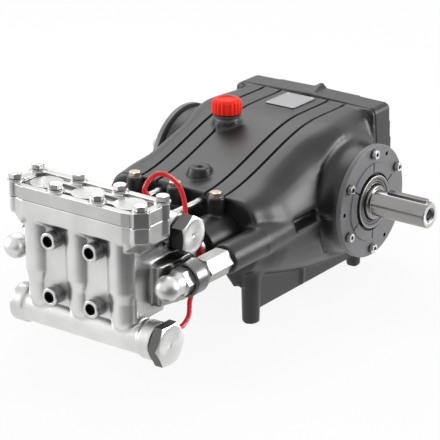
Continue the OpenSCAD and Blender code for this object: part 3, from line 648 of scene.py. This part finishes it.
def case_flanks(x, y, z):
    """The lofted flanks and the fillet of the bearing housing, clear of rims and the back.

    Each term is 0 at a border and grows inward, so the smoothing fades out at all borders."""
    off = math.hypot(y - CRANK_Y, z - AXIS_Z)
    fillet = min((x - 100) / 12, (160 - x) / 8, (off - 84) / 6, (158 - y) / 6)
    flank = min((x - 96) / 14, (y + 150) / 20, (CRANK_Y - y) / 10, (z - 70) / 20, (205 - z) / 20)
    return min(max(fillet, flank), (z - 60) / 15)


FLOW_SHARE = 0.8
flow(case, FLOW_SHARE, 14, case_flanks)
dress(case, [paint], ["crankcase"], angle=50)
dress(rear, [paint], ["rear_cover"], angle=60)

# %% [markdown]
# ## The fluid head, its cover and the plunger guides
#
# The head is blasted stainless, the guides are painted black. The head's sides flow round the
# ears of the two long rods. Between head and cover, and between crankcase and rear cover, a
# gasket shows as a thin dark line: a slice of the solid, drawn in a little.

# %% Fluid head, valve cover and guides
head = soft_copy("head_block", "cast_head", 1.8, 3)
FLANK = (112, -365, 150)
FLANK_REACH = (30, 44, 66)


def head_flanks(x, y, z):
    """The head's sides round the rod's ear."""
    off = [(q - middle) / reach for q, middle, reach in zip((x, y, z), FLANK, FLANK_REACH)]
    return 1.6 * (1 - math.hypot(*off))


flow(head, FLOW_SHARE, 26, head_flanks)
dress(head, [blasted], ["head_block"], angle=60)
lid = soft_copy("valve_cover", "cast_valve_cover", 0.85, 2)
dress(lid, [pocketed], ["valve_cover"], angle=60)
for side in ("left", "middle", "right"):
    guide = soft_copy("guide_" + side, "cast_guide_" + side, 1.5, 3)
    dress(guide, [black_paint_and_shade], ["guide_" + side], angle=60)


# %% Dark seams between the castings
def seam(name, node, axis, low, high, back, inset, top=300):
    """A thin slice of a solid between two planes, drawn in a little: the gasket's dark edge.

    The slice is moved back along the axis, and what stands above top is pressed down."""
    along = Vector([1 if k == axis else 0 for k in range(3)])
    bm = bmesh.new()
    bm.from_mesh(NODES[node].data)
    for height, inner in ((low, True), (high, False)):
        everything = bm.verts[:] + bm.edges[:] + bm.faces[:]
        bmesh.ops.bisect_plane(bm, geom=everything, plane_co=along * height * MM, plane_no=along,
                               clear_inner=inner, clear_outer=not inner)
    bmesh.ops.holes_fill(bm, edges=[e for e in bm.edges if e.is_boundary], sides=0)
    spans = [[f(v.co[k] for v in bm.verts) for f in (min, max)] for k in range(3)]
    for v in bm.verts:
        for k in range(3):
            if k == axis:
                v.co[k] -= back * MM
            else:
                middle, half = sum(spans[k]) / 2, (spans[k][1] - spans[k][0]) / 2
                v.co[k] = middle + (v.co[k] - middle) * (half - inset * MM) / half
        v.co.z = min(v.co.z, top * MM)
    finish_piece(name, bm, [rubber], angle=30)


seam("lid_gasket", "valve_cover", 2, 239.8, 241.4, 1.2, 0.45)
seam("rear_gasket", "rear_cover", 1, 165.6, 167.4, 1.0, 0.9, 257)

# %% [markdown]
# ## Lifting boss and oil filler
#
# The threaded boss in front of the filler is smaller than a few cells, so it gets a ring of
# its own over the casting, with a rounded rim and a deep hole. The filler is a grey neck, a
# black gasket and a red cap, whose wide flutes are a radius that changes with the angle.

# %% Lifting boss
LIFT_Y = -123
LIFT_TOP = 222.3
bm = bmesh.new()
spin(bm, (0, LIFT_Y, LIFT_TOP), (0, 0, 1), [
    (21.5, -19), (20.2, -12), (17.6, -4), (16.9, -1.6), (16, -0.5), (14.5, 0), (10.5, 0.05),
    (9, -0.4), (7.2, -2.2, 1), (5.4, -3.2, 1), (5.1, -14, 1)], 64)
# The boss's hole is lined with painted shade.
finish_piece("lifting_boss", bm, [paint, painted_hole_shade], angle=40)

# %% Oil neck and cap
CAP_AT = (-42, 6, 265.35)
FLUTES = 20


def fluted(a):
    """The cap's radius: wide ribs with narrow valleys between them."""
    return 22.3 + 1.9 * (0.5 + 0.5 * math.cos(FLUTES * a)) ** 0.55


bm = bmesh.new()
spin(bm, (CAP_AT[0], CAP_AT[1], 256.0), (0, 0, 1), [
    (21.9, -7.5), (21.4, -2), (20.3, 0), (19.6, 1.2), (19.4, 4.2), (20.4, 5.4), (22.2, 6),
    (22.5, 6.6), (22.5, 8.3), (21.6, 9), (18, 9.3), (10, 9.3)], 72)
spin(bm, (CAP_AT[0], CAP_AT[1], 265.4), (0, 0, 1), [
    (10, -0.2, 1), (21.2, -0.2, 1), (21.7, 0.3, 1), (21.7, 1.6, 1), (21.2, 2.1, 1), (10, 2.1, 1)],
     72)
finish_piece("filler_neck", bm, [neck_plastic, rubber], ["oil_neck"], angle=40)
bm = bmesh.new()
spin(bm, CAP_AT, (0, 0, 1), [
    (18, 2.0), (22.0, 2.0), (lambda a: fluted(a) - 0.4, 2.6), (fluted, 4), (fluted, 19.5),
    (lambda a: fluted(a) * 0.5 + 10.9, 21.4), (20.6, 22.9), (19.2, 24.1), (17.3, 24.8),
    (15.4, 25), (13.6, 24.8), (12.9, 24.2), (12.5, 23.2), (6, 22.9), (2, 22.9)], 240)
finish_piece("filler_cap", bm, [cap_plastic], ["oil_cap"], angle=50)

# %% [markdown]
# ## Bolts
#
# Each bolt is a washer, a dark gap under the head, and a hexagon with its corners turned
# off and a shallow dish in its crown. They are all made by one function, at the places
# that the solids have.


# %% A hexagon bolt
def bolt(bm, place, axis, af, tall, washer_d, washer_t, bore=0, roll=0.0, dish=0.3):
    """Slots: 0 head, 1 dark gap, 2 washer; a bore gives the head a socket."""
    w = washer_d / 2
    seat = washer_t * 0.6
    spin(bm, place, axis, [(af * 0.3, 0, 2), (w, 0, 2), (w, seat - 0.25, 2), (w - 0.3, seat, 2),
                           (af * 0.3, seat, 2)], 36)
    spin(bm, place, axis, [(af * 0.3, seat, 1), (af * 0.48, seat, 1), (af * 0.48, seat + 0.9, 1),
                           (af * 0.3, seat + 0.9, 1)], 36)
    base = seat + 0.8
    floor_h = tall - dish
    # A socket is lined with the dark gap's finish, as painted shade.
    inner = 1 if bore else 0
    spin(bm, place, axis, [
        (af * 0.3, base), (af * 0.47, base), (hexagon(af), base + 0.35),
        (hexagon(af), crown(af, tall)),
        (af * 0.455, tall), (af * 0.36, tall), (af * 0.33, floor_h), (af * 0.24, floor_h),
        (af * 0.2, floor_h - bore, inner), (af * 0.05, floor_h - bore, inner)], 48, roll)


def bolt_set(name, places, axis, sizes, materials, node, turn=0.37):
    """All bolts of one node; their hexagons stand at different angles, as hands leave them.

    The sizes are width across flats, height, washer diameter and thickness[, socket depth]."""
    bm = bmesh.new()
    for k, place in enumerate(places):
        bolt(bm, place, axis, *sizes, roll=math.pi / 6 + turn * k * k)
    return finish_piece(name, bm, materials, [node], angle=30)


# %% Bolts of the covers and the guides
LID_TOP = 262.2
bolt_set("lid_screws", [(x, y, LID_TOP) for x in (-115.5, -38.5, 38.5, 115.5)
                        for y in (-416.8, -365.6)], (0, 0, 1), (18, 10, 24, 3),
         [zinc, dark_steel, zinc], "lid_bolts")
bolt_set("guide_screws", [(x, -186, 208) for x in (-PITCH, 0, PITCH)], (0, 0, 1),
         (17, 7.6, 19, 1.5), [tan_zinc, dark_steel, tan_zinc], "guide_bolts", 0.2)
COVER_FACE = 184.6
COVER_PCD = 156
BOLT_TURNS = [math.radians(60 * k) for k in range(6)]
for sign, node in ((1, "drive"), (-1, "blind")):
    ring = [(sign * COVER_FACE, CRANK_Y - COVER_PCD / 2 * math.sin(a),
             AXIS_Z + COVER_PCD / 2 * math.cos(a)) for a in BOLT_TURNS]
    bolt_set(node + "_cover_screws", ring, (sign, 0, 0), (13, 8, 17, 1.5, 3),
             [zinc, dark_steel, dark_steel], node + "_cover_bolts")
REAR_FACE = 209
bolt_set("rear_screws", [(x, REAR_FACE, z) for x in (-116.5, 116.5) for z in (62, 108, 172, 246.3)],
         (0, 1, 0), (11, 6.2, 13, 1.2), [zinc, dark_steel, zinc], "rear_cover_bolts")

# %% Long screws through the head
SCREW_FRONT = -439
HEAD_LONG = 19
bm = bmesh.new()
for x in (-38.5, 38.5):
    for z in (AXIS_Z + 44.6, AXIS_Z - 41.8):
        spin(bm, (x, SCREW_FRONT, z), (0, 1, 0), [
            (6.5, 303, 1), (6.5, 257), (5.75, 256), (5.75, 147), (8, 144), (8, HEAD_LONG + 1),
            (13.2, HEAD_LONG + 0.5, 1), (13.5, HEAD_LONG - 0.5, 1), (13.5, 1.6, 1), (13.1, 0.8),
            (12.3, 0.15), (11.6, 0), (9.2, 0), (8.9, 0.25), (hexagon(14), 1.0, 2),
            (hexagon(14), 9, 2), (2, 10, 2)], 48)
# The hex sockets of the screws are lined with painted shade.
finish_piece("head_cap_screws", bm, [zinc, side_steel, painted_hole_shade], ["head_screws"],
             angle=30)

# %% [markdown]
# ## Nuts, spacers and plugs
#
# Domed nuts close the two long rods beside the head, and hexagonal spacers hold the head
# off the crankcase. The inlet and the outlet are closed by hexagon plugs. Their ends were
# faced on a lathe, so light gathers in two fans across the rings: the finish is anisotropic
# round the plug's own axis, and each plug is a piece of its own so that the axis is its own.

# %% Domed nuts and spacers
ROD_X = 140.9
NUT_Y = -348
DOME_R = 19.25
DOME_C = 61.2 - DOME_R
for sign, side in ((1, "right"), (-1, "left")):
    bm = bmesh.new()
    dome = [(DOME_R * math.cos(math.radians(t)), DOME_C + DOME_R * math.sin(math.radians(t)))
            for t in range(-20, 90, 5)]
    spin(bm, (sign * ROD_X, NUT_Y, AXIS_Z), (0, -1, 0), [
        (10, -34), (12, -34), (12, 0), (17, 0.05), (hexagon(36), 0.8),
        (hexagon(36), crown(36, 19)), (17.4, 19), (17.2, 20), (17.2, 33)]
        + dome + [(0.4, 61.19)], 72, math.pi / 6)
    finish_piece("domed_nut_" + side, bm, [polished], ["cap_nut_" + side],
                 angle=30)
    bm = bmesh.new()
    spin(bm, (sign * ROD_X, -316, AXIS_Z), (0, 1, 0), [
        (12.2, 0, 1), (16.8, 0, 1), (16.8, 3.6, 1), (17.5, 4),
        (hexagon(36), crown(36, 4, 0.98, -0.5)),
        (hexagon(36), crown(36, 58.6, 0.98)), (17.6, 58.6), (12.2, 58.8)], 48, math.pi / 6)
    finish_piece("rod_spacer_" + side, bm, [turned, side_steel], ["spacer_" + side],
                 angle=30)

# %% Inlet and outlet plugs
INLET = (131, -394, 59.8)
OUTLET = (108, -312, 197.6)


def plug(name, place, af, tall, neck, roll, node):
    """A faced hexagon plug along +X; slots: 0 flats, 1 neck, 2 faced end."""
    bm = bmesh.new()
    spin(bm, place, (1, 0, 0), [
        (af * 0.3, 0, 1), (af * 0.44, 0, 1), (af * 0.44, neck, 1), (af * 0.49, neck + 0.05),
        (hexagon(af), neck + 0.9), (hexagon(af), crown(af, tall - 0.6, 0.985, 0.42)),
        (af * 0.478, tall - 0.3, 2), (af * 0.46, tall, 2), (af * 0.3, tall - 0.5, 2),
        (af * 0.12, tall - 1.1, 2), (af * 0.05, tall - 1.4, 2), (af * 0.02, tall - 2.2, 2)],
        72, roll)
    end = faced(name + "_face", place[1], place[2])
    # The flats take the dark copy of the steel: painted shade.
    finish_piece(name, bm, [shaded_hex_flats, rubber, end], [node], angle=24)


plug("inlet_hex_plug", INLET, 60, 19.3, 2.0, math.pi / 6, "inlet_plug")
plug("outlet_hex_plug", OUTLET, 52, 23, 0.6, 0.0, "outlet_plug")
bm = bmesh.new()
spin(bm, (104, OUTLET[1], OUTLET[2]), (1, 0, 0), [
    (12.2, 0), (24.2, 0), (25, 0.8), (25, 3.3), (24.2, 4), (12.2, 4)], 64)
finish_piece("outlet_gasket", bm, [rubber], ["outlet_seat"])

# %% [markdown]
# ## Bearing covers, seal and shaft
#
# Each bearing cover is a flange with a raised ring, cut by six narrow grooves, and a hub.
# The grooves are part of the ring's height, which drops where the angle meets one of them.
# Three small jacking holes are cut afterwards, because they break a flat face.

# %% Bearing covers
COVER_BACK = 175.6
RING_LOW, RING_HIGH, HUB_HIGH = 9.0, 11.0, 14.0
SLIT_HALF = 1.15
JACKING_AT = 79


def ring_height(radius):
    """The ring's height by angle: a groove drops it below the flange's face."""
    def height(a):
        nearest = a % (math.pi / 3) - math.pi / 6
        return RING_LOW - 1 if abs(nearest) * radius < SLIT_HALF else RING_HIGH
    return height


def bearing_cover(name, sign, node, open_hub):
    """A cover that faces sign X; the drive side's hub is open for the seal.

    Slots: 0 paint, 1 painted shade in the groove round the hub and in an open hub's bore,
    2 painted shade in the drilled holes, 3 the bright edge of the hub."""
    rings = [(30, 0), (90, 0), (90.7, 0.6), (90.7, 7.4), (90.2, 8.4), (89.2, RING_LOW),
             (64, RING_LOW), (62.9, 9.02), (62.2, ring_height(62.2)), (61.6, ring_height(61.6)),
             (47.6, ring_height(47.6)), (46.8, ring_height(46.8)), (46.4, 6.4, 1), (42.5, 6.4, 1),
             (42.5, 13.2, 1), (42.2, 13.8, 3), (41.8, HUB_HIGH, 3), (40.6, HUB_HIGH, 3)]
    if open_hub:
        rings += [(40.2, 13.6), (37.4, 13.4), (36, 13, 1), (36, 6.8, 1), (27.6, 6.8, 1),
                  (27.6, 0, 1)]
    else:
        rings += [(39.8, 13.6), (20, 13.4), (4, 13.4)]
    bm = bmesh.new()
    spin(bm, (sign * COVER_BACK, CRANK_Y, AXIS_Z), (sign, 0, 0), rings, 720)
    piece = finish_piece(name, bm, [cover_paint, black_paint_and_shade, painted_hole_shade, turned],
                         [node], angle=28)
    bm = bmesh.new()
    for turn in (30, 150, 270):
        a = math.radians(turn)
        spin(bm, (sign * (COVER_BACK + 2), CRANK_Y + JACKING_AT * math.sin(a),
                  AXIS_Z - JACKING_AT * math.cos(a)), (sign, 0, 0), [(3.4, 0), (3.4, 9)], 24)
    mesh = bpy.data.meshes.new("jacking_drills")
    bm.to_mesh(mesh)
    bm.free()
    drills = bpy.data.objects.new("jacking_drills", mesh)
    bpy.context.scene.collection.objects.link(drills)
    mesh.materials.append(painted_hole_shade)
    # The drills carry the painted hole shade into the cover's jacking holes.
    cut = piece.modifiers.new("jacking_holes", "BOOLEAN")
    cut.object = drills
    cut.solver = "EXACT"
    cut.material_mode = "TRANSFER"
    settled = bpy.data.meshes.new_from_object(
        piece.evaluated_get(bpy.context.evaluated_depsgraph_get()))
    piece.modifiers.clear()
    piece.data = settled
    bpy.data.objects.remove(drills)
    print(name, "bored:", len(settled.polygons), "faces")


bearing_cover("drive_cover", 1, "drive_bearing_cover", True)
bearing_cover("blind_cover", -1, "blind_bearing_cover", False)

# %% Shaft seal
bm = bmesh.new()
spin(bm, (182.7, CRANK_Y, AXIS_Z), (1, 0, 0), [
    (28, 0), (35.9, 0), (35.9, 5.2, 1), (35.2, 5.8, 1), (33.6, 5.9, 1), (33, 5.2, 1), (32.4, 4.6),
    (31.4, 4.6), (30.8, 5.2, 1), (30, 5.4, 1), (29.4, 4.8), (28.4, 3.6), (28, 2.6)], 96)
finish_piece("seal_rings", bm, [rubber, side_steel], ["shaft_seal"], angle=30)

# %% Drive shaft and key
SHAFT_END = 290.7
KEY_X = (214.7, 284.7)
bm = bmesh.new()
spin(bm, (0, CRANK_Y, AXIS_Z), (1, 0, 0), [
    (20, 121), (27.5, 121), (27.5, 191.2), (27.1, 192.4), (26.2, 193.3), (25.4, 193.6),
    (22.2, 193.6), (21.4, 193.9), (21, 194.8), (21, 288.9), (20.7, 289.8), (20, 290.5),
    (19.2, SHAFT_END, 2),
    (12.6, SHAFT_END, 2), (12.2, 290.5, 2), (8.9, 287.4, 1), (8.9, 286, 1), (8.4, 285, 1),
    (8.9, 284, 1), (8.4, 283, 1), (8.9, 282, 1), (8.4, 281, 1), (8.75, 280, 1), (8.75, 252, 1),
    (1, 248, 1)], 128)
shaft_face = faced("shaft_face", CRANK_Y, AXIS_Z, (0.74, 0.74, 0.73), 0.24)
finish_piece("ground_drive_shaft", bm, [shaft_steel, side_steel, shaft_face],
             ["drive_shaft"], body="shaft", angle=30)
bm = bmesh.new()
low = Vector((KEY_X[0], CRANK_Y - 6, AXIS_Z + 16.2)) * MM
high = Vector((KEY_X[1], CRANK_Y + 6, 167.7)) * MM
bmesh.ops.create_cube(bm, size=1)
for v in bm.verts:
    v.co = Vector([b if c > 0 else a for a, b, c in zip(low, high, v.co)])
bmesh.ops.bevel(bm, geom=[e for e in bm.edges if abs(e.verts[0].co.z - e.verts[1].co.z) > 1 * MM],
                offset=2.4 * MM, segments=5, affect="EDGES", profile=0.5)
bmesh.ops.bevel(bm, geom=[e for e in bm.edges if min(v.co.z for v in e.verts) > high.z - 0.1 * MM],
                offset=0.5 * MM, segments=2, affect="EDGES", profile=0.5)
finish_piece("parallel_key", bm, [side_steel], ["shaft_key"], body="shaft", angle=40)

# %% [markdown]
# ## Plate, window and drain
#
# The plate on the back stays bare: a thin rounded sheet with a raised rim and four rivets.
# On the rear cover a round window shows the oil, over a hexagonal drain plug.

# %% Bare plate
PLATE = ((-27.5, 88.5), (27.5, 153.5))
PLATE_LOW = 264.0


def rounded(inset, z, radius=4.0, steps=6):
    """The corners of a rounded rectangle, inset from the plate's edge."""
    (x0, y0), (x1, y1) = PLATE
    r = max(radius - inset, 0.6)
    out = []
    left, right_side = x0 + inset + r, x1 - inset - r
    front, rear_side = y0 + inset + r, y1 - inset - r
    for cx, cy, start in ((right_side, rear_side, 0), (left, rear_side, 90), (left, front, 180),
                          (right_side, front, 270)):
        for k in range(steps + 1):
            a = math.radians(start + 90 * k / steps)
            out.append(Vector((cx + r * math.cos(a), cy + r * math.sin(a), z)) * MM)
    return out


bm = bmesh.new()
rows = [[bm.verts.new(q) for q in rounded(*at)] for at in (
    (0, PLATE_LOW), (0, PLATE_LOW + 0.8), (0.2, PLATE_LOW + 1), (1.9, PLATE_LOW + 1),
    (2.2, PLATE_LOW + 0.7))]
for low, high in zip(rows, rows[1:]):
    for k in range(len(low)):
        m = (k + 1) % len(low)
        bm.faces.new((low[k], low[m], high[m], high[k]))
bm.faces.new(rows[0][::-1])
bm.faces.new(rows[-1])
for x in (-23, 23):
    for y in (93, 149):
        spin(bm, (x, y, PLATE_LOW + 0.6), (0, 0, 1), [
            (2, 0, 1), (2, 0.15, 1), (1.6, 0.35, 1), (0.9, 0.42, 1), (0.2, 0.44, 1)], 16)
finish_piece("bare_plate", bm, [plate_metal, turned], ["name_plate"], angle=30)

# %% Oil window and drain plug
bm = bmesh.new()
spin(bm, (0, REAR_FACE, 120), (0, 1, 0), [
    (10, 0), (19, 0), (19, 5.6), (18.2, 6.6), (17, 7), (14.4, 7), (13.6, 6.4), (13, 5, 1),
    (8, 5.3, 1), (2, 5.4, 1)], 64)
finish_piece("oil_window", bm, [turned, sight_window], ["sight_glass"], angle=30)
bolt_set("drain_screw", [(0, REAR_FACE, 68)], (0, 1, 0), (22, 12, 29, 2.5),
         [zinc, dark_steel, tan_zinc], "drain_plug")

# %% Finishes for the nodes that keep their own shape
for node, material in (
        ("hose_fitting_top", turned), ("hose_fitting_low", turned),
        ("plunger_left", ceramic), ("plunger_middle", ceramic), ("plunger_right", ceramic),
        ("gland_left", turned), ("gland_middle", turned), ("gland_right", turned)):
    NODES[node].data.materials.clear()
    NODES[node].data.materials.append(material)
print("kept nodes finished")

# %% [markdown]
# ## The studio
#
# White paper under and behind the pump, and soft light from large lamps. The camera and
# the mirror-like metal see a white room, while the light that falls on the pump stays at a
# plain level. A studio is never white all round: at the pump's right there is a dark opening,
# which gives the steel the grey flanks by which an eye tells steel from white plastic.

# %% Floor
FLOOR_HALF = 4.0
PAPER_SHARE = 0.90
bm = bmesh.new()
bmesh.ops.create_grid(bm, x_segments=8, y_segments=8, size=FLOOR_HALF)
floor_mesh = bpy.data.meshes.new("studio_floor")
bm.to_mesh(floor_mesh)
bm.free()
floor = bpy.data.objects.new("studio_floor", floor_mesh)
bpy.context.scene.collection.objects.link(floor)
floor_paper = bpy.data.materials.new("floor_paper")
floor_paper.use_nodes = True
paper_tree = floor_paper.node_tree
paper = paper_tree.nodes["Principled BSDF"]
paper.inputs["Base Color"].default_value = (0.9, 0.9, 0.9, 1)
paper.inputs["Roughness"].default_value = 0.9
floor_mesh.materials.append(floor_paper)
print("floor laid")


# %% How white the room is, by place and by direction
def dark_opening(tree, vector, middle, start, stop, least):
    """1 away from the direction of middle, falling to least where vector points there."""
    points = add(tree, "ShaderNodeVectorMath", [(0, vector), (1, middle)], operation="DOT_PRODUCT")
    return ranged(tree, points.outputs["Value"], 1.0, least, start, stop)


def white_for_eyes(tree):
    """1 for what the camera, a mirror or glass sees, 0 for the light on the pump."""
    ray = add(tree, "ShaderNodeLightPath")
    either = math_node(tree, "MAXIMUM", ray.outputs["Is Camera Ray"], ray.outputs["Is Glossy Ray"])
    return math_node(tree, "MAXIMUM", either, ray.outputs["Is Transmission Ray"]), ray


def only_in_mirrors(tree, ray, share):
    """The share of white for glossy rays, and full white for all others."""
    less = math_node(tree, "SUBTRACT", share, 1.0)
    change = math_node(tree, "MULTIPLY", ray.outputs["Is Glossy Ray"], less)
    return math_node(tree, "ADD", change, 1.0)


DARK_SIDE = (0.906, -0.42, -0.05)
DARK_FLOOR = (0.27, 0.54)  # metres from the origin towards the dark side
DARK_SKY = (0.68, 0.94)  # cosines of the angle from it
DARKEST = 0.10
seen, ray = white_for_eyes(paper_tree)
spot = add(paper_tree, "ShaderNodeTexCoord").outputs["Object"]
open_floor = dark_opening(paper_tree, spot, DARK_SIDE, *DARK_FLOOR, DARKEST)
glow = add(paper_tree, "ShaderNodeEmission", [
    ("Color", (1, 1, 1, 1)), ("Strength", only_in_mirrors(paper_tree, ray, open_floor))])
blend = add(paper_tree, "ShaderNodeMixShader", [
    (0, math_node(paper_tree, "MULTIPLY", seen, PAPER_SHARE)),
    (1, paper.outputs[0]), (2, glow.outputs[0])])
paper_tree.links.new(blend.outputs[0], paper_tree.nodes["Material Output"].inputs["Surface"])

print("floor glows")

# %% World
ROOM_LIGHT = 0.60
world = bpy.data.worlds.new("studio_world")
bpy.context.scene.world = world
world.use_nodes = True
sky = world.node_tree
light = sky.nodes["Background"]
light.inputs["Color"].default_value = (1, 1, 1, 1)
light.inputs["Strength"].default_value = ROOM_LIGHT
seen, ray = white_for_eyes(sky)
toward = add(sky, "ShaderNodeTexCoord").outputs["Generated"]
opening = dark_opening(sky, toward, DARK_SIDE, *DARK_SKY, DARKEST)
white = add(sky, "ShaderNodeBackground", [
    ("Color", (1, 1, 1, 1)), ("Strength", only_in_mirrors(sky, ray, opening))])
swap = add(sky, "ShaderNodeMixShader", [(0, seen), (1, light.outputs[0]), (2, white.outputs[0])])
sky.links.new(swap.outputs[0], sky.nodes["World Output"].inputs["Surface"])
print("room built")


# %% Lamps
def lamp(name, place, target, size, power):
    """A soft square lamp at place that shines at target."""
    data = bpy.data.lights.new(name, "AREA")
    data.shape = "SQUARE"
    data.size = size
    data.energy = power
    made = bpy.data.objects.new(name, data)
    bpy.context.scene.collection.objects.link(made)
    made.location = place
    made.rotation_euler = (Vector(target) - Vector(place)).to_track_quat("-Z", "Y").to_euler()


MIDDLE = (0.0, -0.1, 0.15)
lamp("top_lamp", (-0.9, 0.7, 1.8), MIDDLE, 1.5, 15)
lamp("left_lamp", (-2.2, -1.3, 0.8), MIDDLE, 1.2, 26)
lamp("right_lamp", (1.9, 1.5, 0.7), MIDDLE, 1.2, 34)
bpy.context.scene.view_settings.view_transform = "Standard"
print("studio lit")
